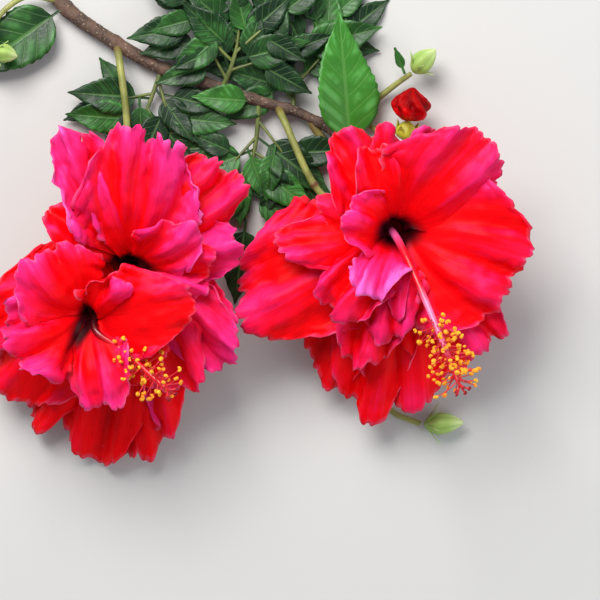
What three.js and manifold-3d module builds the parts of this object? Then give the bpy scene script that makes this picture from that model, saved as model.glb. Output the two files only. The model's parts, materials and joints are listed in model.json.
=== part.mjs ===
// A cut flowering branch of a double red hibiscus, laid down with its two blooms facing up.
// Millimetres, +Z up, standing on the ground at z = 0. The woody stem's cut end is at the back
// left, and the branch runs from there to the right (+X), with the blooms in front of it (-Y).
import * as THREE from "three";
import { mergeVertices } from "three/addons/utils/BufferGeometryUtils.js";
import Module from "manifold-3d";

const wasm = await Module();
wasm.setup();

// Driving dimensions
const gap = 0.3; // clear space between pieces that touch in life
const petalThickness = 1.1;
const clawWidth = 7; // a petal's narrow foot
const clawLength = 0.16; // as a share of the petal
const overlap = 11; // degrees that a petal is rolled, over one neighbour and under the other
const overlapSpread = 0.8; // share by which that differs from petal to petal
const rounding = 0.44; // share of its length that a petal's outer corners are cut back
const lowestPetal = 2.5; // no petal comes nearer to the ground
const neckRadius = 3.2; // of the neck between the left bloom's two throats
const funnelRadius = 5; // of the tube that the petals' feet form, at its root
const mouthRadius = 8;
const mouthHeight = 0.86; // the tube's mouth, as a share of the way from root to throat
const lowFoot = 0.22; // where the lowest and the highest petals leave the tube, as such shares
const highFoot = 0.78;
const lowestRise = -38;
const highestRise = 21;
const receptacleHeight = 3.2; // the disc that carries the petals, above and below the root
const calyxLength = 12;
const calyxRadius = 6;
const margin = 0.55; // share of the petal's thickness left at its margin
const leafThickness = 0.9;
const bractThickness = 0.8;
const stemRadius = 3.6; // the woody stem at its cut end
const stemTipRadius = 2.1;
const columnRadius = 2.3; // the tube that carries the stamens
const antherSize = 1.5;
const frontLeafLength = 60;
const sprayLeafLength = 36;
const leafSlenderness = 0.52; // a leaf's width for its length
const leafFold = 0.16; // how far a leaf's margin lies above its midrib, as a share of its width

// The two blooms: root is where the petals spring from, throat the middle of the funnel's mouth.
// Each petal's turn is its direction seen from above, in degrees from +X, reach and rise are the
// place of its tip from the throat, and droop is how steeply it falls at the tip. Lean bends it
// sideways, cup lifts its sides, curl lifts its tip and flare slows its widening.
const rightBloom = {
  root: [39, 35, 19],
  throat: [43.7, 30.6, 42],
  footRadius: 4.8,
  petals: [
    { turn: 44, reach: 56, rise: 16, width: 62, droop: 10, ruffle: 2.6, waves: 2.6, seed: 1 },
    { turn: 71, reach: 47, rise: 11, width: 28, droop: 8, ruffle: 2.4, waves: 2, seed: 2, curl: 3 },
    { turn: -19, reach: 58, rise: 9, width: 78, droop: 14, ruffle: 2.8, waves: 3.6, seed: 3 },
    { turn: -51, reach: 68, rise: -4, width: 40, droop: 24, ruffle: 2.8, waves: 2.4, seed: 4 },
    { turn: -67, reach: 68, rise: -16, width: 44, droop: 30, ruffle: 2.6, waves: 2, seed: 5 },
    { turn: -86, reach: 79, rise: -20, width: 58, droop: 28, ruffle: 3.2, waves: 2.4, seed: 6 },
    { turn: -101, reach: 85, rise: -26, width: 44, droop: 32, ruffle: 3, waves: 2.2, seed: 7 },
    { turn: -117, reach: 75, rise: -29, width: 44, droop: 36, ruffle: 2.8, waves: 2, seed: 8 },
    { turn: -154, reach: 79, rise: -8, width: 66, droop: 18, ruffle: 2.4, waves: 2.2, seed: 9, cup: -5 },
    { turn: -174, reach: 55, rise: 3, width: 28, droop: 18, ruffle: 1.8, waves: 1.4, seed: 10, cup: -4 },
    { turn: 118, reach: 51, rise: 4, width: 40, droop: 16, ruffle: 3.2, waves: 2.4, seed: 11 },
    { turn: 97, reach: 47, rise: 5, width: 22, droop: 14, ruffle: 2, waves: 1.4, seed: 12 },
    { turn: 106, reach: 40, rise: 14, width: 30, droop: 10, ruffle: 2.4, waves: 1.8, seed: 13 },
    { turn: 160, reach: 25, rise: 17, width: 30, droop: 6, ruffle: 2.6, waves: 2, seed: 15, curl: 2 },
    { turn: -121, reach: 31, rise: 20, width: 32, droop: 26, ruffle: 2.6, waves: 2.2, seed: 16,
      cup: -4, lean: 16, flare: 0.8 },
    { turn: -131, reach: 48, rise: 9, width: 38, droop: 22, ruffle: 3.2, waves: 2.6, seed: 17 },
    { turn: -97, reach: 50, rise: 7, width: 30, droop: 24, ruffle: 3, waves: 2.6, seed: 18 },
    { turn: -107, reach: 62, rise: -4, width: 40, droop: 26, ruffle: 3.4, waves: 2.6, seed: 20 },
  ],
  column: { way: [[45, 25, 48], [58, -6, 66], [69.5, -36, 80]], anthers: 10, dusted: 0.68, spread: 12.5 },
};

// The left bloom's front petals spring from a second throat, its crest, which a short neck carries
const leftBloom = {
  root: [-78, 22, 17],
  throat: [-76.5, 15.8, 42],
  footRadius: 3.4,
  crest: { root: [-87, 4.5, 30], throat: [-96.5, -9, 46], footRadius: 2.8, girth: 0.75 },
  neck: [[-78, 20, 21], [-88.2, 2.8, 31.2]],
  petals: [
    { turn: 115, reach: 66, rise: 10, width: 36, droop: 8, ruffle: 3.4, waves: 2.4, seed: 31, cup: 2 },
    { turn: 138, reach: 44, rise: 2, width: 40, droop: 20, ruffle: 2.4, waves: 2.2, seed: 32 },
    { turn: 82, reach: 60, rise: 18, width: 58, droop: 6, ruffle: 4, waves: 3.2, seed: 33, flare: 0.85 },
    { turn: 44, reach: 63, rise: 3, width: 48, droop: 12, ruffle: 3, waves: 3, seed: 54 },
    { turn: 11, reach: 51, rise: 3, width: 34, droop: 16, ruffle: 3, waves: 2, seed: 35 },
    { turn: 32, reach: 33, rise: 20, width: 30, droop: 20, ruffle: 3, waves: 2.2, seed: 37,
      cup: -3, lean: 24, flare: 0.7 },
    { turn: 122, reach: 36, rise: 12, width: 46, droop: 14, ruffle: 2.6, waves: 2, seed: 38, crest: true },
    { turn: 192, reach: 36, rise: 8, width: 50, droop: 18, ruffle: 3.4, waves: 3, seed: 55,
      cup: -4, crest: true },
    { turn: 46, reach: 26, rise: 16, width: 20, droop: 4, ruffle: 2.6, waves: 1.6, seed: 56,
      cup: -3, crest: true },
    { turn: 9, reach: 49, rise: 13, width: 42, droop: 24, ruffle: 1.6, waves: 1.2, seed: 40,
      cup: -3, flare: 0.85, crest: true },
    { turn: -76, reach: 41, rise: 8, width: 34, droop: 20, ruffle: 3, waves: 2.6, seed: 39,
      flare: 1.1, crest: true },
    { turn: -44, reach: 63, rise: -3, width: 40, droop: 22, ruffle: 2.6, waves: 2.2, seed: 41 },
    { turn: -103, reach: 91, rise: -34, width: 56, droop: 34, ruffle: 3.4, waves: 2.6, seed: 42 },
    { turn: -91, reach: 90, rise: -36, width: 44, droop: 36, ruffle: 3, waves: 2.2, seed: 43 },
    { turn: -82, reach: 76, rise: -22, width: 44, droop: 28, ruffle: 3, waves: 2.2, seed: 44 },
    { turn: -134, reach: 82, rise: -26, width: 60, droop: 30, ruffle: 2.8, waves: 2.2, seed: 45 },
    { turn: -158, reach: 78, rise: -20, width: 48, droop: 30, ruffle: 2.8, waves: 2.4, seed: 46 },
  ],
  column: { way: [[-92, -13, 48.5], [-80, -22, 52], [-60, -39, 62]], anthers: 9, dusted: 0.5, spread: 12.5 },
};

const colours = {
  petal: new THREE.MeshStandardMaterial({ color: "#e0142e", roughness: 0.5, metalness: 0 }),
  column: new THREE.MeshStandardMaterial({ color: "#e3305c", roughness: 0.4, metalness: 0 }),
  calyx: new THREE.MeshStandardMaterial({ color: "#8f9a3a", roughness: 0.6, metalness: 0 }),
  bud: new THREE.MeshStandardMaterial({ color: "#a9c85c", roughness: 0.5, metalness: 0 }),
  leaf: new THREE.MeshStandardMaterial({ color: "#3f7f36", roughness: 0.45, metalness: 0 }),
  stalk: new THREE.MeshStandardMaterial({ color: "#9aa348", roughness: 0.55, metalness: 0 }),
  bark: new THREE.MeshStandardMaterial({ color: "#5d3a2e", roughness: 0.85, metalness: 0 }),
};

const up = new THREE.Vector3(0, 0, 1);
const vector = (place) => new THREE.Vector3(...place);
const radians = THREE.MathUtils.degToRad;
const mix = THREE.MathUtils.lerp;
// A level direction, as degrees from +X
const level = (turn) => new THREE.Vector3(Math.cos(radians(turn)), Math.sin(radians(turn)), 0);

// A repeatable number from -1 to 1 for each pair of a seed and a count
function chance(seed, count) {
  const turned = Math.sin(seed * 12.9898 + count * 78.233) * 43758.5453;
  return 2 * (turned - Math.floor(turned)) - 1;
}

function solidOf(geometry) {
  const bare = geometry.clone();
  bare.deleteAttribute("normal");
  bare.deleteAttribute("uv");
  const merged = mergeVertices(bare, 1e-4);
  return new wasm.Manifold(
    new wasm.Mesh({
      numProp: 3,
      vertProperties: new Float32Array(merged.attributes.position.array),
      triVerts: new Uint32Array(merged.index.array),
    }),
  );
}

function geometryOf(solid) {
  const mesh = solid.getMesh();
  const geometry = new THREE.BufferGeometry();
  geometry.setAttribute("position", new THREE.BufferAttribute(mesh.vertProperties, 3));
  geometry.setIndex(new THREE.BufferAttribute(mesh.triVerts, 1));
  geometry.computeVertexNormals();
  return geometry;
}

// Joins the solids, drops loose scraps and fills any hollow that the joining has sealed
function fuse(solids) {
  const joined = solids.reduce((all, next) => all.add(next));
  const bodies = joined.decompose();
  const largest = bodies.reduce((best, body) => (body.volume() > best.volume() ? body : best));
  return largest.simplify(0.02);
}

function geometryFrom(corners, faces) {
  const geometry = new THREE.BufferGeometry();
  geometry.setAttribute("position", new THREE.Float32BufferAttribute(corners.flatMap((c) => c.toArray()), 3));
  geometry.setIndex(faces.flat());
  return geometry;
}

const even = (steps) => Array.from({ length: steps + 1 }, (_, count) => count / steps);

// A closed thin sheet round the middle surface pointAt, at the given shares of its length and width
function sheet(pointAt, alongs, shares, thicknessAt) {
  const middle = alongs.map((along) => shares.map((share) => pointAt(along, share)));
  const stepsAlong = alongs.length - 1;
  const stepsAcross = shares.length - 1;
  const top = [];
  const bottom = [];
  for (let i = 0; i <= stepsAlong; i++) {
    for (let j = 0; j <= stepsAcross; j++) {
      const along = middle[Math.min(i + 1, stepsAlong)][j].clone().sub(middle[Math.max(i - 1, 0)][j]);
      const across = middle[i][Math.min(j + 1, stepsAcross)].clone().sub(middle[i][Math.max(j - 1, 0)]);
      const normal = along.cross(across).normalize();
      const half = thicknessAt(alongs[i], shares[j]) / 2;
      top.push(middle[i][j].clone().addScaledVector(normal, half));
      bottom.push(middle[i][j].clone().addScaledVector(normal, -half));
    }
  }
  const under = top.length;
  const at = (i, j) => i * (stepsAcross + 1) + j;
  const faces = [];
  const quad = (a, b, c, d) => faces.push([a, b, c], [a, c, d]);
  for (let i = 0; i < stepsAlong; i++) {
    for (let j = 0; j < stepsAcross; j++) {
      quad(at(i, j), at(i + 1, j), at(i + 1, j + 1), at(i, j + 1));
      quad(under + at(i, j), under + at(i, j + 1), under + at(i + 1, j + 1), under + at(i + 1, j));
    }
    quad(at(i + 1, 0), at(i, 0), under + at(i, 0), under + at(i + 1, 0));
    const last = stepsAcross;
    quad(at(i, last), at(i + 1, last), under + at(i + 1, last), under + at(i, last));
  }
  for (let j = 0; j < stepsAcross; j++) {
    const end = stepsAlong;
    quad(at(0, j), at(0, j + 1), under + at(0, j + 1), under + at(0, j));
    quad(at(end, j + 1), at(end, j), under + at(end, j), under + at(end, j + 1));
  }
  return geometryFrom([...top, ...bottom], faces);
}

// One petal: a fan on a bent midline that leaves the tube, climbs in it and flares to its tip
function petal(shape, bloom) {
  const { turn, reach, rise, width, droop, ruffle, waves, seed } = shape;
  const { cup = -2, lean = 0, flare = 1, curl = 0 } = shape;
  const stem = shape.crest ? bloom.crest : bloom;
  const root = vector(stem.root);
  const throat = vector(stem.throat);
  const outward = level(turn);
  const tier = THREE.MathUtils.clamp((rise - lowestRise) / (highestRise - lowestRise), 0, 1);
  const footHeight = mix(lowFoot, highFoot, tier);
  const foot = root.clone().lerp(throat, footHeight).addScaledVector(outward, stem.footRadius);
  const tip = throat.clone().addScaledVector(outward, reach).addScaledVector(up, rise);
  const climb = throat.clone().sub(root).multiplyScalar(mix(0.2, 0.46, tier));
  climb.addScaledVector(outward, mix(9, 2, tier));
  const fall = level(turn + lean).multiplyScalar(Math.cos(radians(droop)));
  fall.addScaledVector(up, -Math.sin(radians(droop)));
  const bend = tip.clone().addScaledVector(fall, -0.52 * reach);
  const midline = new THREE.CubicBezierCurve3(foot, foot.clone().add(climb), bend, tip);
  const opening = (along) => {
    return Math.sin((Math.PI / 2) * Math.max(0, (along - clawLength) / (1 - clawLength))) ** flare;
  };

  const pointAt = (along, share) => {
    const side = 2 * share - 1;
    const open = opening(along);
    const ragged = 1 + 0.03 * Math.sin(5 * side + 3 * chance(seed, 1)) * open;
    const reached = along * (1 - rounding * Math.abs(side) ** 3.4 * open) * ragged;
    const place = midline.getPoint(Math.min(reached, 1));
    const tangent = midline.getTangent(Math.min(reached, 1));
    if (reached > 1) place.addScaledVector(tangent, (reached - 1) * reach);
    const left = level(turn + lean * along + 90);
    const flat = tangent.clone().cross(left).normalize();
    const rolled = radians(overlap * (1 + overlapSpread * chance(seed, 8))) * open;
    const across = left.clone().multiplyScalar(Math.cos(rolled)).addScaledVector(flat, Math.sin(rolled));
    const normal = tangent.clone().cross(across).normalize();
    const half = clawWidth / 2 + (width / 2 - clawWidth / 2) * open;
    const wave = Math.sin(Math.PI * (waves * side + chance(seed, 2)));
    const ripple = 0.25 * Math.sin(Math.PI * (2.3 * waves * side + 2 * chance(seed, 3)));
    const fold = 0.3 * Math.sin(Math.PI * (0.8 * waves * side + chance(seed, 4)));
    const dished = side * side * mix(2, cup, open) + curl * THREE.MathUtils.smoothstep(along, 0.7, 1);
    const lifted = ruffle * ((wave + ripple) * open ** 3 + fold * open) + dished;
    place.addScaledVector(across, side * half).addScaledVector(normal, lifted);
    place.z = Math.max(place.z, lowestPetal);
    return place;
  };
  const thicknessAt = (along, across) => {
    const edge = Math.max(Math.abs(2 * across - 1) ** 4, along ** 6);
    return petalThickness * (1 - (1 - margin) * edge);
  };
  const alongs = reach > 45 ? [0, 0.3, 0.6, 0.84, 1] : [0, 0.4, 0.76, 1];
  const shares = even(THREE.MathUtils.clamp(Math.round(1.5 * waves), 3, 4));
  return solidOf(sheet(pointAt, alongs, shares, thicknessAt));
}

// A tapering round limb through the points, with flat ends
function limb(points, startRadius, endRadius, sides, steps) {
  const path = new THREE.CatmullRomCurve3(points.map(vector), false, "centripetal");
  const frames = path.computeFrenetFrames(steps, false);
  const corners = [];
  for (let i = 0; i <= steps; i++) {
    const middle = path.getPointAt(i / steps);
    const radius = mix(startRadius, endRadius, i / steps);
    for (let j = 0; j < sides; j++) {
      const angle = (2 * Math.PI * j) / sides;
      const corner = middle.clone().addScaledVector(frames.normals[i], radius * Math.cos(angle));
      corners.push(corner.addScaledVector(frames.binormals[i], radius * Math.sin(angle)));
    }
  }
  const faces = [];
  for (let i = 0; i < steps; i++) {
    for (let j = 0; j < sides; j++) {
      const a = i * sides + j;
      const b = i * sides + ((j + 1) % sides);
      faces.push([a, b, b + sides], [a, b + sides, a + sides]);
    }
  }
  const start = corners.push(path.getPointAt(0)) - 1;
  const end = corners.push(path.getPointAt(1)) - 1;
  for (let j = 0; j < sides; j++) {
    const next = (j + 1) % sides;
    faces.push([start, next, j], [end, steps * sides + j, steps * sides + next]);
  }
  return solidOf(geometryFrom(corners, faces));
}

// A closed body of round sections from base to tip, with lengthwise folds that may twist
function pod(base, tip, widest, radiusAt, { folds = 0, depth = 0, twist = 0, sides = 10, rings = 7 } = {}) {
  const axis = vector(tip).sub(vector(base));
  const turnTo = new THREE.Quaternion().setFromUnitVectors(up, axis.clone().normalize());
  const length = axis.length();
  const corners = [];
  for (let i = 1; i < rings; i++) {
    const height = i / rings;
    for (let j = 0; j < sides; j++) {
      const angle = (2 * Math.PI * j) / sides;
      const folded = 1 + depth * Math.cos(folds * (angle + twist * height));
      const radius = widest * radiusAt(height) * folded;
      const corner = new THREE.Vector3(radius * Math.cos(angle), radius * Math.sin(angle), length * height);
      corners.push(corner.applyQuaternion(turnTo).add(vector(base)));
    }
  }
  const faces = [];
  for (let i = 0; i < rings - 2; i++) {
    for (let j = 0; j < sides; j++) {
      const a = i * sides + j;
      const b = i * sides + ((j + 1) % sides);
      faces.push([a, b, b + sides], [a, b + sides, a + sides]);
    }
  }
  const bottom = corners.push(vector(base)) - 1;
  const top = corners.push(vector(tip)) - 1;
  for (let j = 0; j < sides; j++) {
    const next = (j + 1) % sides;
    faces.push([bottom, next, j], [top, (rings - 2) * sides + j, (rings - 2) * sides + next]);
  }
  return solidOf(geometryFrom(corners, faces));
}

// An egg-shaped blade folded a little along its midrib, on a stalk that starts inside the twig
function leaf({ base, turn, length, slope = 0, droop = 12, tilt = 0, stalk = 7, wide = leafSlenderness }) {
  const outward = level(turn);
  const rising = outward.clone().multiplyScalar(Math.cos(radians(slope)));
  rising.addScaledVector(up, Math.sin(radians(slope)));
  const across = new THREE.Vector3(-outward.y, outward.x, 0).multiplyScalar(Math.cos(radians(tilt)));
  across.addScaledVector(up, Math.sin(radians(tilt)));
  const whole = stalk + length;
  const start = vector(base);
  const bend = start.clone().addScaledVector(rising, 0.55 * whole);
  const tip = start.clone().addScaledVector(rising, whole);
  tip.addScaledVector(up, -length * Math.sin(radians(droop)));
  const midrib = new THREE.QuadraticBezierCurve3(start, bend, tip);
  const bladeStart = stalk / whole;
  const widest = (length * wide) / 2;
  const outline = (share) => {
    const tapered = (1 - 0.3 * share) * (1 - 0.3 * THREE.MathUtils.smoothstep(share, 0.7, 1));
    return 1.12 * Math.sin(Math.PI * share ** 0.62) ** 0.9 * tapered;
  };
  const pointAt = (along, share) => {
    const side = 2 * share - 1;
    const reached = Math.max(0, (along - bladeStart) / (1 - bladeStart));
    const half = Math.max(0.6, widest * outline(Math.min(reached, 1)));
    const normal = midrib.getTangent(along).cross(across).normalize();
    const place = midrib.getPoint(along).addScaledVector(across, side * half);
    return place.addScaledVector(normal, Math.abs(side) * half * leafFold);
  };
  const alongs = [0, ...[0.02, 0.17, 0.37, 0.7, 1].map((share) => mix(bladeStart, 1, share))];
  return solidOf(sheet(pointAt, alongs, even(2), () => leafThickness));
}

// Leaves set left and right by turns along a twig, at angles and lengths drawn from the seed.
// A leaf that would touch something that is already there is skipped.
function leafSpray({ twig, leaves, seed, length = sprayLeafLength, lift = 5 }, others) {
  const path = new THREE.CatmullRomCurve3(twig.map(vector), false, "centripetal");
  const parts = [limb(twig, 1.3, 0.8, 4, 4)];
  for (let count = 0; count < leaves; count++) {
    const along = 0.3 + (0.68 * count) / (leaves - 1);
    const heading = path.getTangentAt(along);
    const side = count % 2 === 0 ? 1 : -1;
    const sway = count === leaves - 1 ? 12 * chance(seed, count) : side * (58 + 24 * chance(seed, count));
    const one = leaf({
      base: path.getPointAt(along).toArray(),
      turn: THREE.MathUtils.radToDeg(Math.atan2(heading.y, heading.x)) + sway,
      length: length * (0.92 + 0.2 * chance(seed, count + 20)),
      slope: lift + 4 * chance(seed, count + 40),
      tilt: 9 * chance(seed, count + 60),
      droop: 4,
    });
    if (others.every((other) => one.minGap(other, gap) >= gap)) parts.push(one);
  }
  return fuse(parts);
}

// Where the stamen column runs: from the receptacle, out through the throat, to its tip
function columnPath(bloom) {
  const stem = bloom.crest ?? bloom;
  const root = vector(stem.root);
  const axis = vector(stem.throat).sub(root).normalize();
  const start = root.clone().addScaledVector(axis, receptacleHeight + gap);
  return [start.toArray(), ...bloom.column.way];
}

// The column with anthers on short filaments over its far part, none of them touching a petal
function stamenColumn(bloom, petals) {
  const { anthers, dusted, spread } = bloom.column;
  const points = columnPath(bloom);
  const path = new THREE.CatmullRomCurve3(points.map(vector), false, "centripetal");
  const parts = [limb(points, columnRadius, columnRadius * 0.6, 8, 7)];
  for (let count = 0; count < anthers; count++) {
    const along = dusted + ((1 - dusted) * (count + 0.5)) / anthers;
    const heading = path.getTangentAt(along);
    const around = 2.4 * count;
    const sideways = up.clone().cross(heading).normalize();
    const upward = heading.clone().cross(sideways);
    const out = sideways.multiplyScalar(Math.cos(around)).addScaledVector(upward, Math.sin(around));
    const lean = out.addScaledVector(heading, 0.35 + 0.3 * chance(count, 5)).normalize();
    const reach = spread * (0.75 + 0.25 * chance(count, 7));
    const from = path.getPointAt(along);
    const to = from.clone().addScaledVector(lean, reach);
    const ball = solidOf(new THREE.OctahedronGeometry(antherSize).translate(...to.toArray()));
    const stamen = limb([from.toArray(), to.toArray()], 0.5, 0.4, 3, 1).add(ball);
    if (stamen.minGap(petals, gap) >= gap) parts.push(stamen);
  }
  return fuse(parts);
}

// The tube that the petals' feet form, open at its mouth
function funnel({ root, throat, girth = 1 }) {
  const depth = vector(root).distanceTo(vector(throat));
  const wall = petalThickness;
  const foot = funnelRadius * girth;
  const middle = (funnelRadius + 0.6) * girth;
  const mouth = mouthRadius * girth;
  const profile = [
    [0, 0], [foot, 0], [middle, 0.5 * depth], [mouth, mouthHeight * depth],
    [mouth - wall, mouthHeight * depth + 0.4], [middle - wall, 0.5 * depth], [foot - wall, 2], [0, 2],
  ];
  const turned = new THREE.LatheGeometry(profile.map(([x, y]) => new THREE.Vector2(x, y)), 12);
  turned.rotateX(Math.PI / 2);
  const axis = vector(throat).sub(vector(root)).normalize();
  turned.applyQuaternion(new THREE.Quaternion().setFromUnitVectors(up, axis));
  turned.translate(...root);
  return solidOf(turned);
}

// All of one bloom's petals on their receptacle, with a clear way through them for the column
function bloomPetals(bloom) {
  const root = vector(bloom.root);
  const axis = vector(bloom.throat).sub(root).normalize();
  const seat = root.clone().addScaledVector(axis, -receptacleHeight);
  const crown = root.clone().addScaledVector(axis, receptacleHeight);
  const receptacle = pod(seat.toArray(), crown.toArray(), funnelRadius + 0.6, () => 1, { rings: 3 });
  const parts = [receptacle, funnel(bloom)];
  if (bloom.crest) parts.push(limb(bloom.neck, neckRadius, neckRadius, 8, 1), funnel(bloom.crest));
  for (const shape of bloom.petals) parts.push(petal(shape, bloom));
  const wayThrough = limb(columnPath(bloom), columnRadius + gap, columnRadius * 0.6 + gap, 8, 7);
  return fuse([fuse(parts).subtract(wayThrough)]);
}

// A small pointed blade that leaves the axis sideways, for calyx lobes and bracts
function bract(base, axis, angle, { radius, length, width, splay }) {
  const across = new THREE.Vector3(1, 0, 0).cross(axis).normalize();
  const out = across.clone().applyAxisAngle(axis, angle);
  const sideways = axis.clone().cross(out);
  const heading = out.clone().multiplyScalar(Math.sin(splay)).addScaledVector(axis, Math.cos(splay));
  const start = base.clone().addScaledVector(out, radius);
  const pointAt = (along, share) => {
    const half = (width / 2) * (1 - 0.85 * along ** 1.6);
    const curl = 0.12 * length * along * along;
    const place = start.clone().addScaledVector(heading, length * along).addScaledVector(out, curl);
    return place.addScaledVector(sideways, (2 * share - 1) * half);
  };
  return solidOf(sheet(pointAt, even(2), even(1), () => bractThickness));
}

// The green cup from base to top, with pointed lobes at its rim and narrow bracts round its foot
function calyxCup(foot, top, radius) {
  const axis = top.clone().sub(foot).normalize();
  const length = foot.distanceTo(top);
  const cup = pod(foot.toArray(), top.toArray(), radius, (height) => Math.sqrt(0.16 + 0.84 * height));
  const parts = [cup];
  const rim = foot.clone().addScaledVector(axis, 0.72 * length);
  const heel = foot.clone().addScaledVector(axis, 0.22 * length);
  const lobe = { radius: radius * 0.82, length: 0.8 * length, width: radius * 0.95, splay: radians(38) };
  for (let count = 0; count < 5; count++) parts.push(bract(rim, axis, (2 * Math.PI * count) / 5, lobe));
  const spur = { radius: radius * 0.4, length: 0.75 * length, width: radius * 0.34, splay: radians(66) };
  for (let count = 0; count < 3; count++) parts.push(bract(heel, axis, (2 * Math.PI * (count + 0.5)) / 3, spur));
  return fuse(parts);
}

function bloomCalyx(bloom) {
  const root = vector(bloom.root);
  const axis = vector(bloom.throat).sub(root).normalize();
  const top = root.clone().addScaledVector(axis, -receptacleHeight - gap);
  return calyxCup(top.clone().addScaledVector(axis, -calyxLength), top, calyxRadius);
}

// Puts the pieces together
const branch = new THREE.Group();

const placed = [];

function place(name, solid, material) {
  const mesh = new THREE.Mesh(geometryOf(solid), material);
  mesh.name = name;
  branch.add(mesh);
  placed.push(solid);
  return solid;
}

// A side shoot: it starts inside the limb that bears it and is cut clear of it
function shoot(points, startRadius, endRadius, sides, steps, bearer) {
  return fuse([limb(points, startRadius, endRadius, sides, steps).subtract(bearer)]);
}

const stemWay = [
  [-118, 148, stemRadius], [-108, 135, 4], [-85, 119, 5], [-63, 107, 5], [-45, 101, 5], [-18, 92, 6],
  [0, 86.5, 6.5], [15, 78, 7], [20, 71, 7.5],
];
place("main_stem", limb(stemWay, stemRadius, stemTipRadius, 10, 16), colours.bark);
const stemClearance = limb(stemWay, stemRadius + gap, stemTipRadius + gap, 10, 16);

const rightPetals = place("right_bloom", bloomPetals(rightBloom), colours.petal);
const leftPetals = place("left_bloom", bloomPetals(leftBloom), colours.petal);
place("right_column", stamenColumn(rightBloom, rightPetals), colours.column);
place("left_column", stamenColumn(leftBloom, leftPetals), colours.column);
place("right_calyx", bloomCalyx(rightBloom), colours.calyx);
place("left_calyx", bloomCalyx(leftBloom), colours.calyx);

const upperTwigWay = [[12, 80, 6], [27, 86, 3.6], [38, 95, 4.4], [46, 101, 7.6], [51.2, 104.5, 10.6]];
place("upper_twig", shoot(upperTwigWay, 1.9, 1.2, 6, 6, stemClearance), colours.stalk);
const twigClearance = limb(upperTwigWay, 1.9 + gap, 1.2 + gap, 6, 6);
const spentStalkWay = [[26, 85.5, 3.8], [34, 80, 3], [42, 72.6, 3.4], [47.4, 72.6, 6.8]];
place("spent_stalk", shoot(spentStalkWay, 1.3, 1.2, 6, 5, twigClearance), colours.stalk);
const lowerTwigWay = [
  [4, 85, 6], [17, 62, 4], [25, 40, 3], [28, 0, 3], [33, -30, 2.6], [42, -51, 2.8], [55.8, -57.4, 5],
];
place("lower_twig", shoot(lowerTwigWay, 1.9, 1.3, 6, 12, stemClearance), colours.stalk);
const rightPedicelWay = [[-10, 89, 6.4], [-7, 82, 14], [10, 48.6, 17], [24, 43, 14], [34, 41.5, 6]];
place("right_pedicel", shoot(rightPedicelWay, 1.7, 1.5, 6, 9, stemClearance), colours.stalk);
const leftPedicelWay = [[-85, 119, 5], [-83, 108, 12], [-80, 85, 14], [-79, 55, 11], [-79, 36, 4]];
place("left_pedicel", shoot(leftPedicelWay, 1.7, 1.5, 6, 9, stemClearance), colours.stalk);
const sideStalkWay = [[-111, 139, 5], [-128, 140, 8], [-142, 126, 12], [-141, 115.5, 14]];
place("side_stalk", shoot(sideStalkWay, 1.5, 1.1, 6, 7, stemClearance), colours.stalk);

const egg = (height) => Math.sin(Math.PI * height ** 0.8) ** 0.7;
place("upper_bud", pod([52, 105.2, 11], [62.6, 115.6, 13], 5, egg), colours.bud);
place("lower_bud", pod([57.4, -57.6, 5.4], [75.8, -56.8, 7], 4.8, egg), colours.bud);
place("side_bud", pod([-140.4, 114.6, 14.4], [-130, 112, 16], 4.2, egg), colours.bud);
place("spent_calyx", pod([48.4, 74.4, 8.4], [50, 82.4, 13.4], 5, egg), colours.calyx);
const furled = { folds: 5, depth: 0.16, twist: 1.2 };
place("spent_bloom", pod([50.2, 82.9, 13.8], [52.4, 97, 18], 7.4, egg, furled), colours.petal);

// Single leaves that stand out, and then the sprays
const frontLeaf = {
  base: [23, 72, 8], turn: 95, length: frontLeafLength, slope: 15, tilt: 22, stalk: 3.5, wide: 0.5,
};
const topLeftLeaf = { base: [-109, 136, 5], turn: 216, length: 50, slope: 9 };
const paleLeaf = { base: [-20, 92, 7], turn: 176, length: 26, slope: 12, stalk: 5 };
const smallLeaf = { base: [48.4, 104.4, 11], turn: 112, length: 11, slope: 22, stalk: 3 };
const singles = {
  front_leaf: frontLeaf, top_left_leaf: topLeftLeaf, pale_leaf: paleLeaf, small_leaf: smallLeaf,
};
for (const [name, shape] of Object.entries(singles)) {
  place(name, fuse([leaf(shape).subtract(stemClearance)]), colours.leaf);
}
const sprays = {
  leaves_above_left_bloom: {
    twig: [[-64, 107, 5], [-67, 99, 5], [-71, 88, 5], [-74, 78, 5]], leaves: 5, seed: 5, lift: 5,
  },
  leaves_upper_middle: {
    twig: [[-36, 98, 6], [-32, 107, 10], [-29, 118, 11.5], [-28, 128, 12]], leaves: 6, seed: 7, lift: 7,
  },
  leaves_between: {
    twig: [[-19, 92, 6], [-20, 77, 5], [-23, 58, 4.5], [-25, 38, 4.5]], leaves: 7, seed: 9, lift: 5,
  },
  leaves_upper_right: {
    twig: [[-3, 87, 6], [-3, 97, 4], [-3, 110, 4], [-2, 122, 4]], leaves: 5, seed: 11, lift: 4,
  },
};
for (const [name, spray] of Object.entries(sprays)) {
  place(name, fuse([leafSpray(spray, placed.slice(1)).subtract(stemClearance)]), colours.leaf);
}

// Sets the branch on the ground, over the middle of its own outline
const box = new THREE.Box3().setFromObject(branch);
const middle = box.getCenter(new THREE.Vector3());
branch.position.set(-middle.x, -middle.y, -box.min.z);

export default branch;
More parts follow.
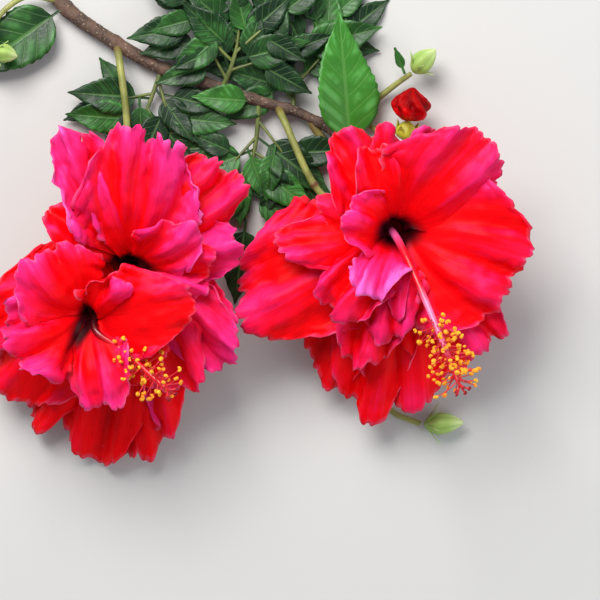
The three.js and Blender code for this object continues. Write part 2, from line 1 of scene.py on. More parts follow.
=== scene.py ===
import json
import math
import bpy
import numpy as np
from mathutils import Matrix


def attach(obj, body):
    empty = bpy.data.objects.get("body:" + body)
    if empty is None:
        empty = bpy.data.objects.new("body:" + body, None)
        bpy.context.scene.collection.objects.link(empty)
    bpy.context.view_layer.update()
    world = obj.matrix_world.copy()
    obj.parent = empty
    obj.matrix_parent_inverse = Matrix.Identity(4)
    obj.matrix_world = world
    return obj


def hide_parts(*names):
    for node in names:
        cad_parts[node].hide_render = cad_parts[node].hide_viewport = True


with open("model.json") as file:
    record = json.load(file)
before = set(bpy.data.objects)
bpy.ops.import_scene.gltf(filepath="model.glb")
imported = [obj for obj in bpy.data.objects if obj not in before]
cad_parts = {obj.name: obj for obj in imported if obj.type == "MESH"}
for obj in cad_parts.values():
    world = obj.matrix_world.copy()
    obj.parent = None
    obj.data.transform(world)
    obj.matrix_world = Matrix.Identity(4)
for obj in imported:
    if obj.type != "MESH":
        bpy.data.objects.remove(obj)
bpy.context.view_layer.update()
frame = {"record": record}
print("frame loaded")

# Places below are in millimetres as the branch was drawn, with the picture's middle at 0, 0.
# The cut end's mount says where that drawing lies now.
mm = 0.001
drawn = {"cutEnd": (-118, 148, 3.6), "pixel": 0.45, "pixels": 600}  # a pixel of the picture is 0.45 mm
shift = np.array(frame["record"]["mounts"][0]["pos_m"]) - mm * np.array(drawn["cutEnd"])
up = np.array([0.0, 0.0, 1.0])
ground = 0.6  # the lowest height of a leaf's or a bract's middle surface


def chance(seed, count):
    # a repeatable number from -1 to 1
    turned = math.sin(seed * 12.9898 + count * 78.233) * 43758.5453
    return 2 * (turned - math.floor(turned)) - 1


def mix(a, b, share):
    return a + (b - a) * share


def ramp(value, low, high):
    # 0 below low and 1 above high, with a soft start and end
    share = np.clip((np.asarray(value, float) - low) / (high - low), 0, 1)
    return share * share * (3 - 2 * share)


def unit(v):
    return v / np.maximum(np.linalg.norm(v, axis=-1, keepdims=True), 1e-12)


def level(angle):
    # the level direction at an angle from +X
    return np.array([math.cos(angle), math.sin(angle), 0])


def axesOf(base, tip):
    # the direction from base to tip and two across it
    axis = unit(np.asarray(tip, float) - np.asarray(base, float))
    side = unit(np.cross(axis, [0.0, 1.0, 0.0]))
    return axis, side, np.cross(axis, side)


def spokes(side, other, angle):
    angle = np.asarray(angle)[..., None]
    return side * np.cos(angle) + other * np.sin(angle)


def bezier(corners, share):
    # places and headings along a cubic or quadratic Bezier curve
    corners = [np.asarray(c, float) for c in corners]
    share = np.asarray(share, float)[..., None]
    rest = 1 - share
    if len(corners) == 3:
        a, b, c = corners
        place = rest**2 * a + 2 * rest * share * b + share**2 * c
        return place, unit(2 * rest * (b - a) + 2 * share * (c - b))
    a, b, c, d = corners
    place = rest**3 * a + 3 * rest**2 * share * b + 3 * rest * share**2 * c + share**3 * d
    heading = rest**2 * (b - a) + 2 * rest * share * (c - b) + share**2 * (d - c)
    return place, unit(heading)


def pathThrough(points, count):
    # count + 1 evenly spaced places on a smooth curve through the points, and the headings there
    knots = [np.array(p, float) for p in points]
    knots = [2 * knots[0] - knots[1], *knots, 2 * knots[-1] - knots[-2]]
    t = np.linspace(0, 1, 40, endpoint=False)[:, None]  # 40 steps from knot to knot
    places = []
    for a, b, c, d in zip(knots, knots[1:], knots[2:], knots[3:]):
        spanA, spanB, spanC = (math.sqrt(np.linalg.norm(q - p)) for p, q in ((a, b), (b, c), (c, d)))
        leave = (b - a) / spanA - (c - a) / (spanA + spanB) + (c - b) / spanB
        arrive = (c - b) / spanB - (d - b) / (spanB + spanC) + (d - c) / spanC
        leave, arrive = leave * spanB, arrive * spanB
        bend = -3 * b + 3 * c - 2 * leave - arrive
        places.append(b + leave * t + bend * t**2 + (2 * b - 2 * c + leave + arrive) * t**3)
    fine = np.vstack([*places, knots[-2][None]])
    travelled = np.concatenate([[0], np.cumsum(np.linalg.norm(np.diff(fine, axis=0), axis=1))])
    wanted = np.linspace(0, travelled[-1], count + 1)
    even = np.stack([np.interp(wanted, travelled, fine[:, axis]) for axis in range(3)], axis=1)
    return even, unit(np.gradient(even, axis=0))


def sheetGrid(along, columns):
    # the shares along a sheet and from -1 to 1 across it, for every point of its grid
    return np.meshgrid(along, np.linspace(-1, 1, columns), indexing="ij")


# Meshes are gathered in a batch and made in one go
def newBatch():
    return {"points": [], "faces": [], "values": {}, "count": 0}


def addShape(batch, points, faces, **values):
    points = np.asarray(points, float).reshape(-1, 3)
    batch["points"].append(points)
    batch["faces"].append(np.asarray(faces, int) + batch["count"])
    for name, value in values.items():
        flat = np.broadcast_to(np.asarray(value, float).reshape(-1), (len(points),))
        batch["values"].setdefault(name, []).append(flat)
    batch["count"] += len(points)


def gridFaces(rows, columns, closed=False):
    wide = columns if closed else columns - 1
    i, j = np.meshgrid(np.arange(rows - 1), np.arange(wide), indexing="ij")
    after = (j + 1) % columns
    corners = [i * columns + j, (i + 1) * columns + j, (i + 1) * columns + after, i * columns + after]
    return np.stack(corners, axis=-1).reshape(-1, 4)


def newObject(name, data):
    made = bpy.data.objects.new(name, data)
    bpy.context.scene.collection.objects.link(made)
    return made


def pieceFrom(batch, name, material=None):
    mesh = bpy.data.meshes.new(name)
    points = mm * np.vstack(batch["points"]) + shift
    mesh.from_pydata(points.tolist(), [], [list(f) for group in batch["faces"] for f in group])
    for value, parts in batch["values"].items():
        layer = mesh.attributes.new(value, "FLOAT", "POINT")
        layer.data.foreach_set("value", np.concatenate(parts).astype(np.float32))
    if "along" in batch["values"]:
        corner = np.zeros(len(mesh.loops), int)
        mesh.loops.foreach_get("vertex_index", corner)
        across = np.concatenate(batch["values"]["across"])[corner] * 0.5 + 0.5
        along = np.concatenate(batch["values"]["along"])[corner]
        mesh.uv_layers.new(name="UVMap").data.foreach_set("uv", np.stack([across, along], 1).ravel())
    mesh.shade_smooth()
    if material:
        mesh.materials.append(material)
    return newObject(name, mesh)


def finished(worked, name):
    # the piece as a plain mesh, with its modifiers worked in
    graph = bpy.context.evaluated_depsgraph_get()
    evaluated = worked.evaluated_get(graph)
    mesh = bpy.data.meshes.new_from_object(evaluated, preserve_all_data_layers=True, depsgraph=graph)
    bpy.data.objects.remove(worked)
    mesh.name = name
    return newObject(name, mesh)


def addWall(worked, thickness):
    wall = worked.modifiers.new("wall", "SOLIDIFY")
    wall.thickness = thickness * mm
    wall.offset = 0


def walled(batch, name, material, thickness):
    worked = pieceFrom(batch, name + "Sheets", material)
    addWall(worked, thickness)
    return finished(worked, name)


# Node helpers, for shader and geometry trees alike
def wire(tree, value, socket):
    if isinstance(value, bpy.types.NodeSocket):
        tree.links.new(value, socket)
    else:
        socket.default_value = value


def fill(tree, node, **inputs):
    # a node's inputs by name, each a value or a socket to link
    for name, value in inputs.items():
        wire(tree, value, node.inputs[name.replace("_", " ")])
    return node


def addNode(tree, kind, **inputs):
    return fill(tree, tree.nodes.new(kind), **inputs)


def calc(tree, operation, *values, kind="ShaderNodeMath"):
    node = tree.nodes.new(kind)
    node.operation = operation
    for value, socket in zip(values, node.inputs):
        wire(tree, value, socket)
    return node.outputs[0]


def times(tree, a, b):
    return calc(tree, "MULTIPLY", a, b)


def total(tree, first, *others):
    for other in others:
        first = calc(tree, "ADD", first, other)
    return first


def swing(tree, value, reach):
    # how far a value from 0 to 1 is from its middle, times the reach
    return times(tree, calc(tree, "SUBTRACT", value, 0.5), reach)


def span(tree, value, low, high, start=0.0, end=1.0):
    node = tree.nodes.new("ShaderNodeMapRange")
    node.interpolation_type = "SMOOTHSTEP"
    for number, socket in zip((value, low, high, start, end), node.inputs):
        wire(tree, number, socket)
    return node.outputs[0]


def noise(tree, vector, scale, detail=2.0, roughness=0.5):
    node = addNode(tree, "ShaderNodeTexNoise", Vector=vector, Scale=scale, Detail=detail, Roughness=roughness)
    return node.outputs[0]


def joined(tree, *numbers):
    # three numbers as one vector
    node = tree.nodes.new("ShaderNodeCombineXYZ")
    for number, socket in zip(numbers, node.inputs):
        wire(tree, number, socket)
    return node.outputs[0]


def blend(tree, share, a, b):
    node = tree.nodes.new("ShaderNodeMix")
    node.data_type = "RGBA"
    wire(tree, share, node.inputs[0])
    wire(tree, (*a, 1) if isinstance(a, tuple) else a, node.inputs[6])
    wire(tree, (*b, 1) if isinstance(b, tuple) else b, node.inputs[7])
    return node.outputs[2]


def layered(tree, colour, *layers):
    # colours laid over the first one, each by its own share
    for share, above in layers:
        colour = blend(tree, share, colour, above)
    return colour


def geometryTree(name, numbers):
    # a tree with a named input for each number and the material, and its In and Out nodes
    tree = bpy.data.node_groups.new(name, "GeometryNodeTree")
    tree.interface.new_socket("Geometry", in_out="INPUT", socket_type="NodeSocketGeometry")
    tree.interface.new_socket("Geometry", in_out="OUTPUT", socket_type="NodeSocketGeometry")
    for label, value in numbers.items():
        kind = "NodeSocketInt" if isinstance(value, int) else "NodeSocketFloat"
        tree.interface.new_socket(label, in_out="INPUT", socket_type=kind).default_value = value
    tree.interface.new_socket("Material", in_out="INPUT", socket_type="NodeSocketMaterial")
    return tree, tree.nodes.new("NodeGroupInput").outputs, tree.nodes.new("NodeGroupOutput").inputs


def attribute(tree, name):
    return addNode(tree, "GeometryNodeInputNamedAttribute", Name=name).outputs[0]


def stored(tree, geometry, name, value):
    node = addNode(tree, "GeometryNodeStoreNamedAttribute", Geometry=geometry, Name=name, Value=value)
    return node.outputs[0]


def lifted(tree, geometry, height):
    # moved by the height along its own normals
    offset = tree.nodes.new("ShaderNodeVectorMath")
    offset.operation = "SCALE"
    tree.links.new(tree.nodes.new("GeometryNodeInputNormal").outputs[0], offset.inputs[0])
    tree.links.new(height, offset.inputs["Scale"])
    return addNode(tree, "GeometryNodeSetPosition", Geometry=geometry, Offset=offset.outputs[0]).outputs[0]


def closeTree(tree, geometry, given, end):
    real = addNode(tree, "GeometryNodeRealizeInstances", Geometry=geometry).outputs[0]
    dress = addNode(tree, "GeometryNodeSetMaterial", Geometry=real, Material=given["Material"])
    tree.links.new(dress.outputs[0], end[0])


def growBy(worked, tree, material, **numbers):
    modifier = worked.modifiers.new(tree.name, "NODES")
    modifier.node_group = tree
    wanted = {**{name.replace("_", " "): value for name, value in numbers.items()}, "Material": material}
    for item in tree.interface.items_tree:
        if item.in_out == "INPUT" and item.name in wanted:
            modifier[item.identifier] = wanted[item.name]


# Shader groups that several finishes share
def shaderGroup(name, takes, gives):
    tree = bpy.data.node_groups.new(name, "ShaderNodeTree")
    for label, value in takes.items():
        kind = "NodeSocketVector" if value is None else "NodeSocketFloat"
        socket = tree.interface.new_socket(label, in_out="INPUT", socket_type=kind)
        if value is not None:
            socket.default_value = value
    for label in gives:
        tree.interface.new_socket(label, in_out="OUTPUT", socket_type="NodeSocketFloat")
    return tree, tree.nodes.new("NodeGroupInput").outputs, tree.nodes.new("NodeGroupOutput").inputs


def mottleGroup():
    # uneven patches and fine grain, from Object coordinates
    takes = {"Vector": None, "Patch Size": 0.01, "Grain Size": 0.001}
    tree, given, end = shaderGroup("mottle", takes, ["Patches", "Grain"])
    patch = noise(tree, given["Vector"], calc(tree, "DIVIDE", 1.0, given["Patch Size"]), 3.0)
    grain = noise(tree, given["Vector"], calc(tree, "DIVIDE", 1.0, given["Grain Size"]), 2.0)
    tree.links.new(span(tree, patch, 0.3, 0.7), end["Patches"])
    tree.links.new(grain, end["Grain"])
    return tree


def streakGroup():
    # fine lines that run from the foot to the tip of a petal, bract or bud
    takes = {"Across": 0.0, "Along": 0.0, "Seed": 0.0, "Count": 20.0}
    tree, given, end = shaderGroup("streaks", takes, ["Streaks", "Fine"])
    across = times(tree, given["Across"], given["Count"])
    drawnOut = joined(tree, across, times(tree, given["Along"], 2.0), times(tree, given["Seed"], 7.3))
    tree.links.new(noise(tree, drawnOut, 0.5, 2.0), end["Streaks"])
    tree.links.new(noise(tree, drawnOut, 1.7, 3.0), end["Fine"])
    return tree


mottle = mottleGroup()
streaks = streakGroup()


def newMaterial(name):
    material = bpy.data.materials.new(name)
    material.use_nodes = True
    tree = material.node_tree
    return material, tree, tree.nodes["Principled BSDF"]


def reading(tree, name):
    node = tree.nodes.new("ShaderNodeAttribute")
    node.attribute_name = name
    return node.outputs["Fac"]


def placeGroup(tree, group, **values):
    node = tree.nodes.new("ShaderNodeGroup")
    node.node_tree = group
    return fill(tree, node, **values).outputs


def objectPlace(tree):
    return tree.nodes.new("ShaderNodeTexCoord").outputs["Object"]


def mottled(tree, patchSize, grainSize):
    # the shared patches and grain, at sizes in millimetres
    return placeGroup(tree, mottle, Vector=objectPlace(tree), Patch_Size=patchSize * mm,
                      Grain_Size=grainSize * mm)


def streaked(tree, count):
    # the shared streaks, along the piece's own attributes
    return placeGroup(tree, streaks, Across=reading(tree, "across"), Along=reading(tree, "along"),
                      Seed=reading(tree, "petal"), Count=count)


def grained(tree, grain, low, high):
    # a roughness from low to high with the grain
    return span(tree, grain["Grain"], 0.3, 0.7, low, high)


def bumped(tree, shader, height, strength, distance):
    bump = addNode(tree, "ShaderNodeBump", Strength=strength, Distance=distance * mm, Height=height)
    fill(tree, shader, Normal=bump.outputs[0])


petalLook = {
    "red": (0.90, 0.0005, 0.004), "magenta": (0.92, 0.025, 0.225), "lilac": (0.92, 0.13, 0.55),
    "rim": (0.95, 0.18, 0.34), "deep": (0.4, 0.0, 0.001), "maroonEyeAndShade": (0.03, 0.0, 0.002), "roughness": 0.46,
    "ridgeHighlightShadeWeight": 0.45, "streaks": 0.5, "patches": 0.3, "waves": 0.5, "facing": 0.35, "margin": 0.22,
    "toRed": (-0.7, 0.1), "toMagenta": (0.25, 1.4), "toLilac": (1.35, 2.1),
}


def petalMaterial():
    # from deep red to lilac by one value: the blush moves it, up to a magenta that is partly painted sheen
    # and down to painted shade; painted highlight raises it on the folds' ridges and where the petal faces
    # the key light, and painted shade lowers it in the folds' valleys
    look = petalLook
    material, tree, shader = newMaterial("petalSatin")
    lines = streaked(tree, 26.0)
    patches = mottled(tree, 22, 1.2)
    outer = times(tree, calc(tree, "POWER", reading(tree, "along"), 1.7), 1.2)
    lit = total(
        tree, times(tree, reading(tree, "blush"), outer),
        times(tree, reading(tree, "facing"), look["facing"]),
        swing(tree, reading(tree, "ridgeHighlightShade"), look["ridgeHighlightShadeWeight"]),
        swing(tree, lines["Streaks"], look["streaks"]),
        swing(tree, patches["Patches"], look["patches"]),
        swing(tree, reading(tree, "wave"), look["waves"]),
        times(tree, reading(tree, "edge"), look["margin"]))
    # painted highlight: a pale rim along the margin
    pale = times(tree, reading(tree, "rim"), span(tree, lines["Streaks"], 0.35, 0.65, 0.05, 0.5))
    # the deep red beneath is the petals' own darker red and painted shade, where the value falls low; the
    # fine veins take it as well
    colour = layered(
        tree, look["deep"],
        (span(tree, lit, *look["toRed"]), look["red"]),
        (span(tree, lit, *look["toMagenta"]), look["magenta"]),
        (span(tree, lit, *look["toLilac"]), look["lilac"]),
        (span(tree, lines["Fine"], 0.62, 0.35, 0.0, 0.2), look["deep"]),
        (pale, look["rim"]), (reading(tree, "throat"), look["maroonEyeAndShade"]))
    rough = total(tree, swing(tree, lines["Fine"], 0.25), look["roughness"])
    fill(tree, shader, Base_Color=colour, Roughness=rough, Specular_IOR_Level=0.07, Subsurface_Weight=0.12,
         Subsurface_Radius=(1.0, 0.1, 0.15), Subsurface_Scale=mm)
    bumped(tree, shader, lines["Fine"], 0.25, 0.5)
    return material


# The two blooms. A petal's turn is its direction from above, in degrees from +X, reach and rise are
# its tip's place from the throat, and droop says how steeply it falls there. Ruffle is its waves'
# height and frill its margin's. Blush is how far it turns from red to magenta, more on its left or right
# where blushSide says so; the magenta is partly its own tint and partly painted sheen, and below 0 it
# turns to a deep red that is painted shade. Lean bends it sideways, cup lifts its sides and curl its tip,
# flare under 1 widens it sooner, and a crest petal grows from the second throat.
petalValues = ("turn", "reach", "rise", "width", "droop", "ruffle", "waves", "seed", "blush")


def petal(*numbers, **others):
    return {**dict(zip(petalValues, numbers)), **others}


rightBloom = {
    "root": (39, 35, 19), "throat": (43.7, 30.6, 42), "footRadius": 4.8, "shade": (1.2, 0.8),
    "tubes": [((39, 35, 19), (43.7, 30.6, 42), 1)],
    "petals": [
        petal(44, 56, 16, 62, 10, 2.6, 2.6, 1, 0.5),
        petal(71, 47, 11, 28, 8, 2.4, 2, 2, 0.8, curl=3),
        petal(-19, 58, 9, 78, 14, 2.8, 3.6, 3, 0.35),
        petal(-51, 68, -4, 40, 24, 2.8, 2.4, 4, 0.5),
        petal(-67, 68, -16, 44, 30, 2.6, 2, 5, -0.1, frill=0.6),
        petal(-86, 79, -20, 58, 28, 3.2, 2.4, 6, 0.3, frill=0.6),
        petal(-101, 85, -26, 44, 32, 3, 2.2, 7, 0.15, frill=0.6),
        petal(-117, 75, -29, 44, 36, 2.8, 2, 8, 0, frill=0.6),
        petal(-154, 79, -8, 66, 18, 2.4, 2.2, 9, 0.25, cup=-5),
        petal(-174, 55, 3, 28, 18, 1.8, 1.4, 10, 0.3, cup=-4),
        petal(118, 51, 4, 40, 16, 3.2, 2.4, 11, 0.3),
        petal(97, 47, 5, 22, 14, 2, 1.4, 12, 0.3),
        petal(106, 40, 14, 30, 10, 2.4, 1.8, 13, 0.2),
        petal(160, 38, 3, 22, 12, 1.2, 1.2, 14, 0.2, cup=-3),
        petal(160, 25, 17, 30, 6, 2.6, 2, 15, 0.75, curl=2),
        petal(-115, 33, 20, 27, 26, 2.6, 2.2, 16, 1.7, lean=16, cup=-4, flare=0.8),
        petal(-131, 48, 9, 38, 22, 3.2, 2.6, 17, 0.4),
        petal(-97, 50, 7, 30, 24, 3, 2.6, 18, 0.4),
        petal(-91, 39, 14, 12, 20, 1.2, 1, 19, 0.5),
        petal(-107, 62, -4, 40, 26, 3.4, 2.6, 20, 0.4),
    ],
}
leftBloom = {
    "root": (-78, 22, 17), "throat": (-76.5, 15.8, 42), "footRadius": 3.4, "shade": (1.3, 0.45),
    "crest": {"root": (-87, 4.5, 30), "throat": (-96.5, -9, 46), "footRadius": 2.8, "shade": (0.42, 0.85)},
    "tubes": [((-78, 22, 17), (-76.5, 15.8, 42), 1), ((-78, 20, 21), (-88, 3, 31.5), 0.45),
              ((-87, 4.5, 30), (-96.5, -9, 46), 0.75)],
    "petals": [
        petal(115, 66, 10, 36, 8, 3.4, 2.4, 31, 0.75, blushSide=0.5, cup=2, frill=1.5),
        petal(138, 44, 2, 40, 20, 2.4, 2.2, 32, 0.1),
        petal(110, 43, 17, 15, 0, 2.2, 1.3, 47, 0.9, cup=-5),
        petal(82, 60, 18, 58, 6, 4, 3.2, 33, 0.8, blushSide=-0.6, flare=0.85, frill=1.5),
        petal(44, 63, 3, 48, 12, 3, 3, 54, 0.3),
        petal(11, 51, 3, 34, 16, 3, 2, 35, 0.8),
        petal(-19, 35, 8, 26, 16, 3, 2.2, 36, 0.6),
        petal(2, 38, 12, 26, 10, 3.2, 2, 48, 0.4),
        petal(32, 33, 20, 30, 20, 3, 2.2, 37, 0.7, blushSide=-0.6, lean=24, cup=-3, flare=0.7),
        petal(122, 36, 12, 46, 14, 2.6, 2, 38, 0.55, crest=True, blushSide=0.4, frill=1.3),
        petal(192, 36, 8, 50, 18, 3.4, 3, 55, 0.65, crest=True, blushSide=-0.2, cup=-4, frill=1.8),
        petal(46, 26, 16, 20, 4, 2.6, 1.6, 56, 0.5, crest=True, blushSide=-0.8, cup=-3, frill=1.8),
        petal(9, 49, 13, 42, 24, 1.6, 1.2, 40, 0.2, crest=True, cup=-3, flare=0.85, frill=0.8),
        petal(-76, 41, 8, 34, 20, 3, 2.6, 39, 0.6, crest=True, flare=1.1, frill=1.2),
        petal(-36, 42, 1, 40, 16, 2.6, 2, 49, -0.1, crest=True),
        petal(-44, 63, -3, 40, 22, 2.6, 2.2, 41, 0.85),
        petal(-29, 53, -5, 26, 22, 2.4, 2, 50, 0.6),
        petal(-103, 91, -34, 56, 34, 3.4, 2.6, 42, -0.1, frill=0.7),
        petal(-91, 90, -36, 44, 36, 3, 2.2, 43, 0, frill=0.7),
        petal(-82, 76, -22, 44, 28, 3, 2.2, 44, 0.15, frill=0.6),
        petal(-124, 86, -35, 38, 34, 2.8, 2, 51, -0.1, frill=0.7),
        petal(-78, 78, -24, 14, 20, 2, 1.4, 52, 0.8, curl=4),
        petal(-134, 82, -26, 60, 30, 2.8, 2.2, 45, 0.1, frill=0.7),
        petal(-158, 78, -20, 48, 30, 2.8, 2.4, 46, 0.2),
        petal(-68, 62, -8, 46, 24, 3, 2.2, 53, 0.4),
    ],
}
petalForm = {
    "thickness": 0.38, "lowest": 2.5, "largeReach": 45, "largeGrid": (38, 58), "smallGrid": (30, 44),
    "claw": 7, "clawLength": 0.16, "foot": (0.22, 0.78), "rises": (-38, 21), "climb": (0.2, 0.46),
    "spread": (9, 2), "flareLength": 0.52, "rounding": 0.44, "roundness": 3.4, "roll": 11, "rollRange": 0.8,
    "ragged": 0.03, "scallops": ((5, 0.036), (13, 0.024)), "scallopWidth": 50,
    "smallWave": (2.3, 0.25), "fold": (0.8, 0.3), "cup": (2, -2), "curled": 0.7,
    "frillSize": 10.0, "frillWidth": 0.04, "frillHeight": 0.35,
    "crimp": 2.2, "crimpSize": 7.2, "crease": 0.4, "creaseCount": 2.4, "throatReach": (6, 13),
}
tubeForm = {
    "root": 5, "middle": 5.6, "mouth": 8, "mouthHeight": 0.86, "floor": 1.5, "sides": 48,
    "dark": (0.2, 0.2, 0.2, 0.4, 1),  # maroon from the root to the mouth, the eye's colour and painted shade
}


def petalSurface(shape, bloom):
    # the middle surface of one petal, by the same rule as the solid's but sampled finely and frilled
    form = petalForm
    stem = bloom["crest"] if shape.get("crest") else bloom
    rows, columns = form["largeGrid"] if shape["reach"] > form["largeReach"] else form["smallGrid"]
    along, side = sheetGrid(np.linspace(0, 1, rows), columns)
    root, throat = np.array(stem["root"], float), np.array(stem["throat"], float)
    turn, droop, lean = (math.radians(shape.get(name, 0)) for name in ("turn", "droop", "lean"))
    seed, reach, ruffle, frilled = shape["seed"], shape["reach"], shape["ruffle"], shape.get("frill", 1)

    # its middle line climbs from the foot out of the tube and flares to the tip
    outward = level(turn)
    lowRise, highRise = form["rises"]
    tier = float(np.clip((shape["rise"] - lowRise) / (highRise - lowRise), 0, 1))
    foot = mix(root, throat, mix(*form["foot"], tier)) + outward * stem["footRadius"]
    tip = throat + outward * reach + up * shape["rise"]
    climb = (throat - root) * mix(*form["climb"], tier) + outward * mix(*form["spread"], tier)
    ending = level(turn + lean) * math.cos(droop) - up * math.sin(droop)
    claw = form["clawLength"]
    opening = np.sin(math.pi / 2 * np.maximum(0, (along - claw) / (1 - claw))) ** shape.get("flare", 1)
    ragged = 1 + form["ragged"] * np.sin(5 * side + 3 * chance(seed, 1)) * opening
    for lobes, deep in form["scallops"]:
        phase = lobes * side * shape["width"] / form["scallopWidth"] + chance(seed, lobes)
        ragged = ragged + deep * frilled * (np.abs(np.sin(math.pi / 2 * phase)) - 0.6) * opening**3
    reached = along * (1 - form["rounding"] * np.abs(side) ** form["roundness"] * opening) * ragged
    middle, heading = bezier([foot, foot + climb, tip - ending * form["flareLength"] * reach, tip],
                             np.minimum(reached, 1))
    middle = middle + heading * (np.maximum(reached - 1, 0) * reach)[..., None]

    # its width, with the sides crimped as the waves do the tip
    leaning = (turn + lean * along)[..., None]
    left = np.concatenate([-np.sin(leaning), np.cos(leaning), 0 * leaning], axis=-1)
    rolled = math.radians(form["roll"] * (1 + form["rollRange"] * chance(seed, 8))) * opening[..., None]
    across = left * np.cos(rolled) + unit(np.cross(heading, left)) * np.sin(rolled)
    normal = unit(np.cross(heading, across))
    frill = np.abs(side) ** 5 * opening**2
    turns = 2 * math.pi * (along * reach / form["frillSize"] + chance(seed, 6) + 0.2 * np.sign(side))
    half = mix(form["claw"] / 2, shape["width"] / 2, opening)
    half = half * (1 + form["frillWidth"] * frill * np.sin(turns))

    def ripple(count, height, phase):
        return height * np.sin(math.pi * (count * shape["waves"] * side + phase))

    wave = ripple(1, 1, chance(seed, 2)) + ripple(*form["smallWave"], 2 * chance(seed, 3))
    fold = ripple(*form["fold"], chance(seed, 4))
    footCup, openCup = form["cup"]
    height = ruffle * (wave * opening**3 + fold * opening + form["frillHeight"] * frill * np.cos(turns))
    height = height + side**2 * mix(footCup, shape.get("cup", openCup), opening)
    height = height + shape.get("curl", 0) * ramp(along, form["curled"], 1)
    points = middle + across * (side * half)[..., None] + normal * height[..., None]
    points[..., 2] = np.maximum(points[..., 2], form["lowest"])

    # what the finish reads: the dark throat, a maroon eye with painted shade; the pale rim, a painted
    # highlight; the blush, with its painted sheen and shade; and the waves, painted highlight and shade
    axis = unit(throat - root)
    off = points - root
    off = (off - (off @ axis)[..., None] * axis) / np.array([*stem["shade"], 1])
    margin = np.maximum(along, np.abs(side) * ramp(along, 0.3, 0.6))
    return points, {
        "along": along, "across": side, "petal": seed, "open": opening,
        "blush": shape["blush"] * (1 + shape.get("blushSide", 0) * side),
        "edge": frilled * np.maximum(along**5, np.abs(side) ** 5 * opening), "rim": ramp(margin, 0.982, 1),
        "throat": 1 - ramp(np.linalg.norm(off, axis=-1), *form["throatReach"]),
        # painted highlight on the waves' crests and painted shade in their troughs
        "wave": 0.5 + 0.4 * wave * opening**2,
    }


def tubeSurface(root, throat, girth):
    # the tube that the petals' feet form, closed at its root
    form = tubeForm
    axis, side, other = axesOf(root, throat)
    depth = np.linalg.norm(np.subtract(throat, root))
    radii = [(0.01, form["floor"]), (form["root"] * 0.6, form["floor"]), (form["root"], 0),
             (form["middle"], 0.5 * depth), (form["mouth"], form["mouthHeight"] * depth)]
    ring = spokes(side, other, np.linspace(0, 2 * math.pi, form["sides"], endpoint=False))
    return np.array([root + axis * height + ring * radius * girth for radius, height in radii])


def petalReliefTree():
    # frills a petal at its margin and creases it lengthwise
    numbers = {"Crimp": 0.001, "Crimp Size": 0.007, "Crease": 0.0005, "Crease Count": 4.0}
    tree, given, end = geometryTree("petalRelief", numbers)
    seed = attribute(tree, "petal")
    position = tree.nodes.new("GeometryNodeInputPosition").outputs[0]
    own = joined(tree, *(times(tree, seed, 0.13 + 0.21 * count) for count in range(3)))
    moved = calc(tree, "ADD", position, own, kind="ShaderNodeVectorMath")  # so that no two petals match
    frill = noise(tree, moved, calc(tree, "DIVIDE", 1.0, given["Crimp Size"]), 1.0)
    frill = swing(tree, frill, times(tree, given["Crimp"], 4.0))
    frill = times(tree, frill, total(tree, attribute(tree, "edge"), 0.1))
    fan = joined(tree, times(tree, attribute(tree, "across"), given["Crease Count"]),
                 times(tree, attribute(tree, "along"), 1.4), times(tree, seed, 3.1))
    crease = noise(tree, fan, 1.0, 2.0, 0.55)
    height = swing(tree, crease, times(tree, given["Crease"], 3.0))
    height = total(tree, times(tree, height, attribute(tree, "open")), frill)
    # the creases, which the finish paints as highlight on their ridges and as shade in their grooves
    ridged = stored(tree, given["Geometry"], "ridgeHighlightShade", crease)
    raised = lifted(tree, ridged, height)
    towardKeyLight = tree.nodes.new("ShaderNodeVectorMath")  # painted highlight: how far the petal faces the key light, up and back
    towardKeyLight.operation = "DOT_PRODUCT"
    tree.links.new(tree.nodes.new("GeometryNodeInputNormal").outputs[0], towardKeyLight.inputs[0])
    towardKeyLight.inputs[1].default_value = (-0.25, 0.62, 0.74)
    facing = stored(tree, raised, "facing", span(tree, towardKeyLight.outputs["Value"], 0.72, 1.0))
    closeTree(tree, facing, given, end)
    return tree


petalSatin = petalMaterial()
petalRelief = petalReliefTree()


def relieve(worked, crimp, crimpSize, crease, creaseCount):
    growBy(worked, petalRelief, petalSatin, Crimp=crimp * mm, Crimp_Size=crimpSize * mm, Crease=crease * mm,
           Crease_Count=creaseCount)


def bloomPiece(bloom, name):
    batch = newBatch()
    for shape in bloom["petals"]:
        points, values = petalSurface(shape, bloom)
        addShape(batch, points, gridFaces(*points.shape[:2]), **values)
    for ends in bloom["tubes"]:
        tube = tubeSurface(*ends)
        # the tube's inside, deep red and maroon: the eye's colour and painted shade
        dark = np.repeat(tubeForm["dark"], tube.shape[1])
        addShape(batch, tube, gridFaces(*tube.shape[:2], closed=True), throat=dark, blush=-0.5, along=0.2,
                 across=0, petal=0, open=0, edge=0, rim=0, wave=0.5)
    worked = pieceFrom(batch, name + "Sheets")
    form = petalForm
    relieve(worked, form["crimp"], form["crimpSize"], form["crease"], form["creaseCount"])
    addWall(worked, form["thickness"])
    return finished(worked, name)


rightPetals = bloomPiece(rightBloom, "rightPetals")
leftPetals = bloomPiece(leftBloom, "leftPetals")
print("blooms opened")


